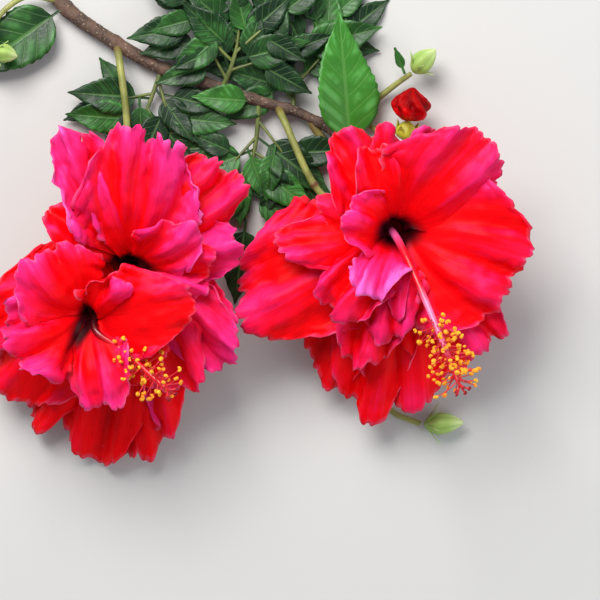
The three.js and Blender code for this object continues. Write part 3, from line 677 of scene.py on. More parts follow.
# Round limbs: a line with a radius at each point gets its skin from one tree
def limbTree():
    tree, given, end = geometryTree("limbSkin", {"Sides": 10, "Relief": 0.0, "Relief Size": 0.002})
    line = addNode(tree, "GeometryNodeMeshToCurve", Mesh=given["Geometry"])
    ring = addNode(tree, "GeometryNodeCurvePrimitiveCircle", Radius=1.0, Resolution=given["Sides"])
    skin = addNode(tree, "GeometryNodeCurveToMesh", Fill_Caps=True, Curve=line.outputs[0],
                   Profile_Curve=ring.outputs[0], Scale=attribute(tree, "girth"))
    position = tree.nodes.new("GeometryNodeInputPosition").outputs[0]
    rough = noise(tree, position, calc(tree, "DIVIDE", 1.0, given["Relief Size"]), 3.0)
    raised = lifted(tree, skin.outputs[0], swing(tree, rough, times(tree, given["Relief"], 3.0)))
    closeTree(tree, addNode(tree, "GeometryNodeSetShadeSmooth", Geometry=raised).outputs[0], given, end)
    return tree


def addLine(batch, points, girth, **values):
    # a run of edges; girth is the radius in millimetres at each point
    count = len(points)
    links = np.stack([np.arange(count - 1), np.arange(1, count)], axis=1)
    along = np.linspace(0, 1, count)
    addShape(batch, points, links, girth=np.asarray(girth) * mm, along=along, across=0, **values)


def limbPiece(batch, name, material, sides, relief=0.0, reliefSize=2.0):
    worked = pieceFrom(batch, name + "Lines")
    growBy(worked, limbSkin, material, Sides=sides, Relief=relief * mm, Relief_Size=reliefSize * mm)
    return finished(worked, name)


limbSkin = limbTree()
woodyStem = {
    "way": [(-118, 148, 3.6), (-108, 135, 4), (-85, 119, 5), (-63, 107, 5), (-45, 101, 5), (-18, 92, 6),
            (0, 86.5, 6.5), (15, 78, 7), (20, 71, 7.5)],
    "start": 3.6, "end": 2.1, "knuckles": (0.1, 0.27, 0.43, 0.55, 0.69, 0.8, 0.9), "knuckleLength": 0.012,
    "swelling": 0.5, "most": 0.3, "steps": 260, "sides": 24, "relief": 0.32, "reliefSize": 1.6,
    "dark": (0.035, 0.017, 0.012), "light": (0.13, 0.068, 0.045), "worn": (0.2, 0.13, 0.09),
    "dots": (0.36, 0.27, 0.19), "dotDensity": 420,
}


def barkMaterial():
    look = woodyStem
    material, tree, shader = newMaterial("woodyBark")
    grain = mottled(tree, 6, 0.7)
    dots = addNode(tree, "ShaderNodeTexVoronoi", Vector=objectPlace(tree), Scale=look["dotDensity"])
    dots = span(tree, dots.outputs["Distance"], 0.26, 0.16)
    worn = span(tree, grain["Grain"], 0.4, 0.7, 0.0, 0.6)
    colour = layered(tree, look["dark"], (grain["Patches"], look["light"]), (worn, look["worn"]),
                     (times(tree, dots, 0.55), look["dots"]))
    fill(tree, shader, Base_Color=colour, Roughness=grained(tree, grain, 0.6, 0.9))
    bumped(tree, shader, total(tree, grain["Grain"], dots), 0.6, 0.4)
    return material


def buildWoodyStem():
    # a little thicker at each knuckle, where a leaf or shoot leaves it
    form = woodyStem
    points, _ = pathThrough(form["way"], form["steps"])
    along = np.linspace(0, 1, len(points))
    girth = mix(form["start"], form["end"], along)
    for knuckle in form["knuckles"]:
        girth = girth + form["swelling"] * np.exp(-(((along - knuckle) / form["knuckleLength"]) ** 2))
    batch = newBatch()
    addLine(batch, points, np.minimum(girth, form["start"] + form["most"]))
    return limbPiece(batch, "woodyStem", barkMaterial(), form["sides"], form["relief"], form["reliefSize"])


# Green stalks; the joint is where a pedicel would part, as a share of its length
greenStalks = {
    "upper_twig": {
        "way": [(12, 80, 6), (27, 86, 3.6), (38, 95, 4.4), (46, 101, 7.6), (51.2, 104.5, 10.6)],
        "start": 1.9, "end": 1.2},
    "spent_stalk": {
        "way": [(26, 85.5, 3.8), (34, 80, 3), (42, 72.6, 3.4), (47.4, 72.6, 6.8)],
        "start": 1.3, "end": 1.2},
    "lower_twig": {
        "way": [(4, 85, 6), (17, 62, 4), (25, 40, 3), (28, 0, 3), (33, -30, 2.6), (42, -51, 2.8),
                (55.8, -57.4, 5)],
        "start": 1.9, "end": 1.3, "joint": 0.86},
    "right_pedicel": {
        "way": [(-10, 89, 6.4), (-7, 82, 14), (10, 48.6, 17), (24, 43, 14), (34, 41.5, 6)],
        "start": 1.7, "end": 1.5, "joint": 0.56},
    "left_pedicel": {
        "way": [(-85, 119, 5), (-83, 108, 12), (-80, 85, 14), (-79, 55, 11), (-79, 36, 4)],
        "start": 1.7, "end": 1.5, "joint": 0.6},
    "side_stalk": {
        "way": [(-111, 139, 5), (-128, 140, 8), (-142, 126, 12), (-141, 115.5, 14)],
        "start": 1.5, "end": 1.1, "joint": 0.8},
}
stalkForm = {
    "steps": 90, "sides": 14, "relief": 0.09, "reliefSize": 1.4, "swelling": 0.22, "jointLength": 0.018,
    "foot": 0.03, "footLength": 0.05, "footSwelling": 0.6,
    "greenStalk": ((0.18, 0.20, 0.04), (0.34, 0.36, 0.09)),
    "leafTwig": ((0.07, 0.11, 0.025), (0.17, 0.22, 0.05)),
    "specks": (0.2, 0.1, 0.03), "joint": (0.13, 0.035, 0.015),
}


def stalkMaterial(name):
    # green skin that turns reddish brown at the joints
    look = stalkForm
    material, tree, shader = newMaterial(name)
    grain = mottled(tree, 8, 0.6)
    low, high = look[name]
    specks = span(tree, grain["Grain"], 0.45, 0.75, 0.0, 0.35)
    colour = layered(tree, low, (grain["Patches"], high), (specks, look["specks"]),
                     (reading(tree, "joint"), look["joint"]))
    fill(tree, shader, Base_Color=colour, Roughness=grained(tree, grain, 0.4, 0.6), Subsurface_Weight=0.1,
         Subsurface_Scale=mm)
    bumped(tree, shader, grain["Grain"], 0.3, 0.2)
    return material


def buildGreenStalks():
    form = stalkForm
    batch = newBatch()
    for stalk in greenStalks.values():
        points, _ = pathThrough(stalk["way"], form["steps"])
        along = np.linspace(0, 1, len(points))
        foot = form["footSwelling"] * np.exp(-(((along - form["foot"]) / form["footLength"]) ** 2))
        swollen = foot
        if "joint" in stalk:
            swollen = np.maximum(np.exp(-(((along - stalk["joint"]) / form["jointLength"]) ** 2)), foot)
        girth = mix(stalk["start"], stalk["end"], along) * (1 + form["swelling"] * swollen)
        addLine(batch, points, girth, joint=swollen)
    green = stalkMaterial("greenStalk")
    return limbPiece(batch, "greenStalks", green, form["sides"], form["relief"], form["reliefSize"])


# Stamen columns: a tube with thread-like filaments, each ending in a yellow anther
columnForm = {
    "radius": 2.0, "tipShare": 0.55, "seat": 3.5, "steps": 120, "sides": 16,
    "threadRadius": 0.27, "threadTaper": (1.2, 0.8), "threadTurn": 2.4, "threadLean": (0.35, 0.45),
    "threadReach": (0.62, 0.36), "threadBow": (0.55, 0.12), "threadSides": 5, "scatter": 1.2, "bends": 6,
    "antherSize": 1.12, "antherSizes": (0.75, 1.2), "antherSeed": 3,
    "stigmas": 5, "styleRadius": 0.42, "styleRun": (3, 4.5), "styleSpread": 3.4, "styleSides": 7,
    "stigmaSize": 0.9, "stigmaSeed": 4,
}
stamenColumns = {
    "right": {"way": [(45, 25, 48), (58, -6, 66), (69.5, -36, 80)], "anthers": 96, "dusted": 0.68,
              "spread": 12.5, "seed": 61, "hidden": 0.0},
    "left": {"way": [(-92, -13, 48.5), (-80, -22, 52), (-60, -39, 62)], "anthers": 64, "dusted": 0.5,
             "spread": 12.5, "seed": 62, "hidden": 1.0},
}
columnLook = {
    "foot": (0.72, 0.10, 0.32), "inside": (0.75, 0.002, 0.01), "shaftHighlight": (0.88, 0.22, 0.45),
    "tip": (0.7, 0.004, 0.02), "patches": (0.8, 0.01, 0.06), "reddened": (0.7, 0.003, 0.015),
    "filamentRed": ((0.62, 0.003, 0.01), (0.85, 0.04, 0.05), 0.45, 2),
    "pollenYellow": ((0.98, 0.27, 0.003), (1.0, 0.52, 0.02), 0.75, 1.5),
    "stigmaRed": ((0.25, 0.0, 0.01), (0.45, 0.004, 0.02), 0.8, 1),
}


def columnMaterial():
    # lilac at its foot, red in the throat and a lilac-pink band further out, a painted glossy highlight,
    # before its red tip
    look = columnLook
    material, tree, shader = newMaterial("columnGloss")
    along = reading(tree, "along")
    grain = mottled(tree, 4, 0.8)
    colour = layered(
        tree, look["foot"],
        (span(tree, along, 0.2, 0.34), look["inside"]),
        (span(tree, along, 0.5, 0.62), look["shaftHighlight"]),
        (span(tree, along, 0.78, 0.92), look["tip"]),
        (times(tree, grain["Patches"], 0.3), look["patches"]),
        (reading(tree, "reddened"), look["reddened"]), (reading(tree, "shaded"), petalLook["maroonEyeAndShade"]))
    fill(tree, shader, Base_Color=colour, Roughness=grained(tree, grain, 0.22, 0.4), Subsurface_Weight=0.15,
         Subsurface_Scale=mm)
    return material


def plainMaterial(name):
    # a soft skin between two tones, with a fine grain
    low, high, roughness, size = columnLook[name]
    material, tree, shader = newMaterial(name)
    grain = mottled(tree, size, size * 0.15)
    rough = grained(tree, grain, roughness - 0.1, roughness + 0.1)
    fill(tree, shader, Base_Color=blend(tree, grain["Patches"], low, high), Roughness=rough)
    bumped(tree, shader, grain["Grain"], 0.4, 0.1)
    return material


def antherTree():
    # a kidney of two lobes on every point, each turned its own way
    tree, given, end = geometryTree("antherHeads", {"Size": 0.001, "Seed": 1})
    lobes = tree.nodes.new("GeometryNodeJoinGeometry")
    for side in (-1, 1):
        ball = addNode(tree, "GeometryNodeMeshUVSphere", Segments=7, Rings=5, Radius=1.0)
        lobe = addNode(tree, "GeometryNodeTransform", Geometry=ball.outputs[0], Scale=(0.62, 1.0, 0.7),
                       Translation=(0.42 * side, 0, 0), Rotation=(0, 0, 0.5 * side))
        tree.links.new(lobe.outputs[0], lobes.inputs[0])
    spin = addNode(tree, "FunctionNodeRandomValue", Seed=given["Seed"])
    spin.data_type = "FLOAT_VECTOR"
    spin.inputs[1].default_value = (6.28, 6.28, 6.28)  # up to a full turn about each axis
    grow = addNode(tree, "FunctionNodeRandomValue", Seed=given["Seed"])
    grow.inputs[2].default_value, grow.inputs[3].default_value = columnForm["antherSizes"]
    put = addNode(tree, "GeometryNodeInstanceOnPoints", Points=given["Geometry"], Instance=lobes.outputs[0],
                  Rotation=spin.outputs[0], Scale=times(tree, grow.outputs[1], given["Size"]))
    real = addNode(tree, "GeometryNodeRealizeInstances", Geometry=put.outputs[0]).outputs[0]
    closeTree(tree, addNode(tree, "GeometryNodeSetShadeSmooth", Geometry=real).outputs[0], given, end)
    return tree


antherHeads = antherTree()


def headPiece(points, name, size, seed, material):
    batch = newBatch()
    addShape(batch, points, np.zeros((0, 2), int))
    worked = pieceFrom(batch, name + "Points")
    growBy(worked, antherHeads, material, Size=size * mm, Seed=seed)
    return finished(worked, name)


def acrossOf(heading):
    # level and upward directions across a heading
    sideways = unit(np.cross(up, heading))
    return sideways, np.cross(heading, sideways)


def addThreads(threads, points, headings, column):
    # the filaments, dense over the column's far part; returns their tips
    form, seed, tips = columnForm, column["seed"], []
    for count in range(column["anthers"]):
        share = column["dusted"] + (1 - column["dusted"]) * (count + 0.5) / column["anthers"]
        at = int(share * (len(points) - 1))
        heading = headings[at]
        out = spokes(*acrossOf(heading), form["threadTurn"] * count + 0.4 * chance(seed, count))
        forward, forwardRange = form["threadLean"]
        lean = unit(out + heading * (forward + forwardRange * chance(seed, count + 100)))
        least, more = form["threadReach"]
        reach = column["spread"] * (least + more * chance(seed, count + 200))
        bow, ahead = form["threadBow"]
        middle = points[at] + lean * reach * bow + heading * reach * ahead
        tip = points[at] + lean * reach + up * form["scatter"] * chance(seed, count + 300)
        way, _ = bezier([points[at], middle, tip], np.linspace(0, 1, form["bends"]))
        addLine(threads, way, form["threadRadius"] * np.linspace(*form["threadTaper"], form["bends"]))
        tips.append(tip)
    return tips


def addStyles(styles, end, heading):
    # the five-part stigma's styles beyond the column's end; returns their tips
    form, tips = columnForm, []
    near, far = form["styleRun"]
    for count in range(form["stigmas"]):
        out = spokes(*acrossOf(heading), 2 * math.pi * count / form["stigmas"])
        corners = [end - heading, end + heading * near, end + heading * far + out * form["styleSpread"]]
        way, _ = bezier(corners, np.linspace(0, 1, form["bends"]))
        addLine(styles, way, form["styleRadius"])
        tips.append(way[-1])
    return tips


def buildColumns():
    form = columnForm
    tubes, threads, styles = newBatch(), newBatch(), newBatch()
    anthers, stigmas = [], []
    for bloom, column in zip((rightBloom, leftBloom), stamenColumns.values()):
        stem = bloom.get("crest", bloom)
        foot = np.array(stem["root"], float) + axesOf(stem["root"], stem["throat"])[0] * form["seat"]
        points, headings = pathThrough([foot, *column["way"]], form["steps"])
        along = np.linspace(0, 1, len(points))
        shaded = column["hidden"] * (1 - ramp(along, 0.3, 0.55))
        girth = form["radius"] * mix(1, form["tipShare"], along)
        addLine(tubes, points, girth, shaded=shaded, reddened=column["hidden"])
        anthers += addThreads(threads, points, headings, column)
        stigmas += addStyles(styles, points[-1], headings[-1])
    redThread = plainMaterial("filamentRed")
    return (
        limbPiece(tubes, "columnTubes", columnMaterial(), form["sides"]),
        limbPiece(threads, "filaments", redThread, form["threadSides"]),
        limbPiece(styles, "styles", redThread, form["styleSides"]),
        headPiece(anthers, "anthers", form["antherSize"], form["antherSeed"], plainMaterial("pollenYellow")),
        headPiece(stigmas, "stigmas", form["stigmaSize"], form["stigmaSeed"], plainMaterial("stigmaRed")),
    )


# Round bodies with lengthwise folds: cups, buds and the spent bloom
def podSurface(base, tip, widest, profile, folds, depth, twist=0.0, rings=40, sides=60):
    base, tip = np.asarray(base, float), np.asarray(tip, float)
    _, side, other = axesOf(base, tip)
    height = (np.linspace(0, 1, rings) * 0.998 + 0.001)[:, None]
    angle = np.linspace(0, 2 * math.pi, sides, endpoint=False)[None, :]
    wave = np.cos(folds * (angle + twist * height))
    radius = widest * profile(height) * (1 + depth * wave * np.sin(math.pi * height) ** 0.5)
    points = base + (tip - base) * height[..., None] + spokes(side, other, angle) * radius[..., None]
    across = np.cos(2 * angle) + 0 * height
    return points, {"along": height + 0 * angle, "across": across, "crease": (1 - wave) / 2}


def eggProfile(height):
    return np.sin(math.pi * height**0.8) ** 0.7


def cupProfile(height):
    return np.sqrt(0.16 + 0.84 * height) * np.sqrt(np.clip(1.02 - height**14, 0.05, 1))


def podFaces(points):
    return gridFaces(*points.shape[:2], closed=True)[:, ::-1]


def addPod(batch, seed, *args, yellowed=0, **kinds):
    points, values = podSurface(*args, **kinds)
    addShape(batch, points, podFaces(points), petal=seed, yellowed=yellowed, **values)
    rings, sides = points.shape[:2]
    first = batch["count"] - rings * sides
    for ring, flip in ((0, 1), (rings - 1, -1)):  # closes the two poles
        batch["faces"].append([[first + ring * sides + j for j in range(sides)][::flip]])


bladeForm = {"rows": 18, "columns": 9, "point": 0.97, "taper": 1.6, "hollow": 0.25, "curl": 0.12}


def addBlades(batch, foot, top, ring, seed, yellowed=0):
    # a ring of pointed blades round an axis; a blade starts "at" along it and "out" from it
    axis, side, other = axesOf(foot, top)
    form, splay = bladeForm, math.radians(ring["splay"])
    along, across = sheetGrid(np.linspace(0, 1, form["rows"]), form["columns"])
    half = ring["width"] / 2 * (1 - form["point"] * along ** form["taper"])
    forward = ring["length"] * along
    curled = ring.get("curl", form["curl"]) * forward * along + form["hollow"] * half * (across**2 - 1)
    for count in range(ring["count"]):
        out = spokes(side, other, 2 * math.pi * (count + ring["turned"]) / ring["count"])
        heading = out * math.sin(splay) + axis * math.cos(splay)
        points = foot + axis * ring["at"] + out * ring["out"] + heading * forward[..., None]
        points = points + np.cross(axis, out) * (across * half)[..., None] + out * curled[..., None]
        points[..., 2] = np.maximum(points[..., 2], ground)
        addShape(batch, points, gridFaces(*along.shape), along=along, across=across, petal=seed,
                 crease=np.abs(across), yellowed=yellowed)


greenLook = {
    "calyxGreen": ((0.16, 0.17, 0.03), (0.34, 0.36, 0.08), (0.42, 0.36, 0.10)),
    "budGreen": ((0.22, 0.36, 0.06), (0.42, 0.58, 0.14), (0.66, 0.78, 0.36)), "yellow": (0.48, 0.45, 0.02),
}


def greenMaterial(name):
    # ribbed green skin, paler or redder towards the tip, with painted shade in its folds
    low, high, tipColour = greenLook[name]
    material, tree, shader = newMaterial(name)
    grain = mottled(tree, 5, 0.5)
    lines = streaked(tree, 12.0)
    colour = layered(
        tree, low, (lines["Streaks"], high),
        (span(tree, reading(tree, "along"), 0.55, 1.0, 0.0, 0.8), tipColour),
        # painted shade: darker green in the pods' fold grooves; the blades are darker near their edges too
        (span(tree, reading(tree, "crease"), 0.75, 1.0, 0.0, 0.45), low),
        (times(tree, reading(tree, "yellowed"), 0.85), greenLook["yellow"]))
    fill(tree, shader, Base_Color=colour, Roughness=grained(tree, grain, 0.38, 0.58), Subsurface_Weight=0.12,
         Subsurface_Scale=mm)
    bumped(tree, shader, lines["Fine"], 0.4, 0.2)
    return material


# An open bloom's calyx is a cup with five lobes at its rim and narrow bracts round its foot
calyxForm = {
    "length": 12, "radius": 6, "seat": 3.5, "folds": 10, "depth": 0.035, "bladeThickness": 0.4,
    "lobes": {"count": 5, "turned": 0, "at": 8.64, "out": 5.04, "length": 9.6, "width": 6.3, "splay": 36},
    "bracts": {"count": 6, "turned": 0.5, "at": 2.64, "out": 2.52, "length": 9, "width": 2.16, "splay": 64,
               "curl": 0.2},
}
budForms = {
    "upper_bud": {"base": (52, 105.2, 11), "tip": (62.6, 115.6, 13), "radius": 5},
    "lower_bud": {"base": (57.4, -57.6, 5.4), "tip": (75.8, -56.8, 7), "radius": 4.8},
    "side_bud": {"base": (-140.4, 114.6, 14.4), "tip": (-130, 112, 16), "radius": 4.2},
}
budShape = {
    "folds": 5, "depth": 0.07, "twist": 0.25, "bladeThickness": 0.35, "bractShare": 0.55,
    "bracts": {"count": 6, "turned": 0.3, "at": 0.6, "out": 1.2, "width": 1.7, "splay": 48},
}
spentForm = {
    "calyx": [(48.4, 74.4, 8.4), (50, 82.4, 13.4)], "calyxRadius": 5, "calyxDepth": 0.06,
    "lobes": {"count": 5, "turned": 0.5, "at": 5.2, "out": 4.6, "length": 3.6, "width": 3.8, "splay": 4},
    "base": (50.2, 82.9, 13.8), "tip": (52.4, 97, 18), "radius": 7.8, "folds": 5, "depth": 0.16, "twist": 1.6,
    "crimp": 0.55, "crimpSize": 5, "crease": 0.9, "creaseCount": 3.0, "blush": -3.0,
    "rings": 60, "sides": 110,
}


def buildCalyces():
    form = calyxForm
    cups, blades = newBatch(), newBatch()
    for seed, bloom in enumerate((rightBloom, leftBloom), 71):
        axis = axesOf(bloom["root"], bloom["throat"])[0]
        top = bloom["root"] - axis * form["seat"]
        foot = top - axis * form["length"]
        addPod(cups, seed, foot, top, form["radius"], cupProfile, form["folds"], form["depth"])
        addBlades(blades, foot, top, form["lobes"], seed)
        addBlades(blades, foot, top, form["bracts"], seed)
    spent = spentForm
    foot, top = spent["calyx"]  # its lobes lie close to the furled petals
    addPod(cups, 74, foot, top, spent["calyxRadius"], eggProfile, spent["folds"], spent["calyxDepth"],
           yellowed=1)
    addBlades(blades, foot, top, spent["lobes"], 75, yellowed=1)
    green = greenMaterial("calyxGreen")
    return pieceFrom(cups, "calyxCups", green), walled(blades, "calyxLobes", green, form["bladeThickness"])


def buildBuds():
    form = budShape
    buds, blades = newBatch(), newBatch()
    for seed, bud in enumerate(budForms.values()):
        ends = bud["base"], bud["tip"]
        addPod(buds, seed + 80, *ends, bud["radius"], eggProfile, form["folds"], form["depth"], form["twist"])
        length = form["bractShare"] * np.linalg.norm(np.subtract(*ends))
        addBlades(blades, *ends, {**form["bracts"], "length": length}, seed + 90)
    green = greenMaterial("budGreen")
    return pieceFrom(buds, "buds", green), walled(blades, "budBracts", green, form["bladeThickness"])


def buildSpentBloom():
    # petals furled to a twisted pod, with the open petals' finish
    form = spentForm
    batch = newBatch()
    points, values = podSurface(form["base"], form["tip"], form["radius"], eggProfile, form["folds"],
                                form["depth"], form["twist"], form["rings"], form["sides"])
    crease = values.pop("crease")
    # painted shade: maroon along the furled pod's fold grooves
    addShape(batch, points, podFaces(points), petal=95, open=1, edge=1, blush=form["blush"], rim=0,
             throat=0.5 * crease, wave=0.5, **values)
    worked = pieceFrom(batch, "spentSheets")
    relieve(worked, form["crimp"], form["crimpSize"], form["crease"], form["creaseCount"])
    return finished(worked, "spentBloom")


# Leaves: an egg-shaped, toothed blade folded a little along its midrib
leafForm = {
    "slope": 0, "tilt": 0, "droop": 12, "stalk": 7, "slenderness": 0.52, "teethCount": 9, "columns": 9,
    "thickness": 0.34, "stalkRadius": 0.6, "tipWidth": 0.15, "teeth": 0.09, "veins": 7, "slant": 1.5,
    "quilting": 0.3, "fold": 0.16, "wave": 0.03, "stalkRows": 4, "toothRows": 3, "rise": 0.55,
    "dark": (0.003, 0.022, 0.005), "bright": (0.045, 0.23, 0.02), "bulgeHighlights": (0.16, 0.50, 0.13),
    "lines": (0.20, 0.42, 0.11),
}
singleLeaves = {
    "front_leaf": {"base": (23, 72, 8), "turn": 95, "length": 60, "slope": 15, "stalk": 3.5, "teethCount": 15,
                   "columns": 13, "tone": 0.8, "tilt": 22, "slenderness": 0.5},
    "top_left_leaf": {"base": (-109, 136, 5), "turn": 216, "length": 50, "slope": 9, "teethCount": 12,
                      "columns": 13, "tone": 0.25},
    "pale_leaf": {"base": (-20, 92, 7), "turn": 176, "length": 26, "slope": 12, "stalk": 5, "tone": 0.5},
    "small_leaf": {"base": (48.4, 104.4, 11), "turn": 112, "length": 11, "slope": 22, "stalk": 3,
                   "slenderness": 0.38, "tone": 0.5},
}


def leafSurface(leaf, seed):
    form = leafForm
    leaf = {**form, "tone": 0.2 + 0.22 * chance(seed, 2), **leaf}
    turn, slope, tilt, droop = (math.radians(leaf[name]) for name in ("turn", "slope", "tilt", "droop"))
    teeth, length = leaf["teethCount"], leaf["length"]
    rising = level(turn) * math.cos(slope) + up * math.sin(slope)
    across = level(turn + math.pi / 2) * math.cos(tilt) + up * math.sin(tilt)
    whole = leaf["stalk"] + length
    start = np.array(leaf["base"], float)
    tip = start + rising * whole - up * length * math.sin(droop)
    blade = leaf["stalk"] / whole
    rows = [np.linspace(0, blade * 0.98, form["stalkRows"]),
            mix(blade, 1, np.linspace(0, 1, form["toothRows"] * teeth + 1))]
    along, side = sheetGrid(np.concatenate(rows), leaf["columns"])
    middle, heading = bezier([start, start + rising * form["rise"] * whole, tip], along)
    reached = np.clip((along - blade) / (1 - blade), 0, 1)
    outline = 1.12 * np.sin(math.pi * reached**0.62) ** 0.9 * (1 - 0.3 * reached)
    outline = outline * (1 - 0.3 * ramp(reached, 0.7, 1))  # draws the tip out
    tooth = ((reached * teeth) % 1.0 - 0.4) * ramp(reached, 0.12, 0.3) * np.abs(side) ** 6
    widest = length * leaf["slenderness"] / 2
    half = np.maximum(form["stalkRadius"], widest * outline * (1 + form["teeth"] * tooth))
    half = np.where(reached >= 1, form["tipWidth"], half)
    belly = np.sin(math.pi * reached)
    veins = np.cos(2 * math.pi * (reached * form["veins"] - np.abs(side) * form["slant"]))
    quilted = 1 - veins * np.minimum(1, 3 * np.abs(side)) * belly
    height = np.abs(side) * half * form["fold"] + form["quilting"] * quilted * 0.5 * (length / 40)
    height = height + form["wave"] * length * side**2 * np.sin(9 * reached + 3 * chance(seed, 1)) * belly
    normal = unit(np.cross(heading, across))
    points = middle + across * (side * half)[..., None] + normal * height[..., None]
    points[..., 2] = np.maximum(points[..., 2], ground)
    return points, {"along": reached, "across": side, "tone": leaf["tone"]}


def leafVeinGroup():
    # the midrib and the side veins that leave it at a slant
    takes = {"Along": 0.0, "Across": 0.0, "Count": float(leafForm["veins"]), "Slant": leafForm["slant"]}
    tree, given, end = shaderGroup("leafVeins", takes, ["Veins", "Midrib", "BulgeHighlights"])
    side = calc(tree, "ABSOLUTE", given["Across"])
    slanted = times(tree, side, given["Slant"])
    run = calc(tree, "SUBTRACT", times(tree, given["Along"], given["Count"]), slanted)
    off = calc(tree, "ABSOLUTE", calc(tree, "SUBTRACT", calc(tree, "FRACT", total(tree, run, 0.5)), 0.5))
    tree.links.new(span(tree, off, 0.09, 0.02), end["Veins"])
    tree.links.new(times(tree, span(tree, off, 0.12, 0.42), span(tree, side, 0.08, 0.4)), end["BulgeHighlights"])
    tree.links.new(span(tree, side, 0.10, 0.03), end["Midrib"])
    return tree


leafVeins = leafVeinGroup()


def leafMaterial():
    # dark to bright by each leaf's tone, with a painted highlight, paler, on the bulges between the veins
    look = leafForm
    material, tree, shader = newMaterial("leafGloss")
    grain = mottled(tree, 12, 0.9)
    veins = placeGroup(tree, leafVeins, Along=reading(tree, "along"), Across=reading(tree, "across"))
    tone = total(tree, reading(tree, "tone"), swing(tree, grain["Patches"], 0.22))
    # painted highlight on the quilted bulges between the veins
    bulgeHighlight = times(tree, veins["BulgeHighlights"], span(tree, grain["Patches"], 0.2, 0.9, 0.0, 0.6))
    line = calc(tree, "MAXIMUM", times(tree, veins["Veins"], 0.45), times(tree, veins["Midrib"], 0.8))
    colour = layered(tree, look["dark"], (span(tree, tone, 0.0, 1.0), look["bright"]),
                     (times(tree, bulgeHighlight, tone), look["bulgeHighlights"]), (times(tree, line, 0.3), look["lines"]))
    fill(tree, shader, Base_Color=colour, Roughness=grained(tree, grain, 0.28, 0.46), Specular_IOR_Level=0.3,
         Subsurface_Weight=0.06, Subsurface_Scale=mm)
    bumped(tree, shader, calc(tree, "SUBTRACT", times(tree, grain["Grain"], 0.25), line), 0.5, 0.3)
    return material


# A spray is a twig with leaves, and side twigs that leave it by the same rule with smaller leaves
leafSprays = {
    "leaves_above_left_bloom": {
        "twig": [(-64, 107, 5), (-67, 99, 5), (-71, 88, 5), (-74, 78, 5)],
        "leaves": 5, "seed": 5, "lift": 5, "sideTwigs": 3},
    "leaves_upper_middle": {
        "twig": [(-36, 98, 6), (-32, 107, 10), (-29, 118, 11.5), (-28, 128, 12)],
        "leaves": 6, "seed": 7, "lift": 7, "sideTwigs": 5},
    "leaves_between": {
        "twig": [(-19, 92, 6), (-20, 77, 5), (-23, 58, 4.5), (-25, 38, 4.5)],
        "leaves": 7, "seed": 9, "lift": 5, "sideTwigs": 5},
    "leaves_upper_right": {
        "twig": [(-3, 87, 6), (-3, 97, 4), (-3, 110, 4), (-2, 122, 4)],
        "leaves": 5, "seed": 11, "lift": 4, "sideTwigs": 4},
}
sprayForm = {
    "twigRadius": 1.25, "twigTaper": 0.55, "twigSides": 8, "leafLength": 34, "leafStalk": 0.2, "leafDroop": 4,
    "firstLeaf": 0.3, "leafRun": 0.68, "leafTurn": (58, 24), "lastTurn": 12, "leafSizes": (0.92, 0.2),
    "sideRadius": 0.8, "sideLength": 26, "sideLeaf": 25, "sideLeaves": 4, "sideTurn": (52, 20),
    "firstSide": 0.16, "sideRun": 0.7, "sideRange": 0.25, "sideArch": 1.5, "sideDrop": 3, "clearance": 0.5,
    "steps": 100, "limbSteps": 60, "leafSlope": 4, "leafTilt": 9,
}


def limbPlaces():
    # points along the pedicels, twigs and blooms' tubes, and how far from them a leaf has to stay
    ways = [(stalk["way"], stalk["start"]) for name, stalk in greenStalks.items() if name != "side_stalk"]
    ways += [((bloom["root"], bloom["throat"]), tubeForm["mouth"]) for bloom in (rightBloom, leftBloom)]
    places = [pathThrough(way, sprayForm["limbSteps"])[0] for way, _ in ways]
    radii = [np.full(len(way), radius) for way, (_, radius) in zip(places, ways)]
    return np.vstack(places), np.concatenate(radii)


def addLeaf(batch, leaf, seed, limbs=None):
    # a spray's leaf is left out where it would touch a limb
    points, values = leafSurface(leaf, seed)
    if limbs:
        off = np.linalg.norm(points.reshape(-1, 1, 3) - limbs[0][None], axis=2) - limbs[1]
        if off.min() < sprayForm["clearance"]:
            return
    addShape(batch, points, gridFaces(*points.shape[:2]), **values)


def addTwig(blades, twigs, way, girth, leaves, seed, lift, size, limbs):
    # leaves left and right by turns along the twig, and one at its end
    form = sprayForm
    points, headings = pathThrough(way, form["steps"])
    addLine(twigs, points, girth * np.linspace(1, form["twigTaper"], len(points)), joint=0.0)
    turned, turnRange = form["leafTurn"]
    least, more = form["leafSizes"]
    for count in range(leaves):
        at = int(round(form["steps"] * (form["firstLeaf"] + form["leafRun"] * count / (leaves - 1))))
        sway = (-1) ** count * (turned + turnRange * chance(seed, count))
        if count == leaves - 1:
            sway = form["lastTurn"] * chance(seed, count)
        leaf = {
            "base": points[at], "turn": math.degrees(math.atan2(headings[at][1], headings[at][0])) + sway,
            "length": size * (least + more * chance(seed, count + 20)), "stalk": form["leafStalk"] * size,
            "slope": lift + form["leafSlope"] * chance(seed, count + 40),
            "tilt": form["leafTilt"] * chance(seed, count + 60), "droop": form["leafDroop"],
        }
        addLeaf(blades, leaf, seed * 20 + count, limbs)
    return points, headings


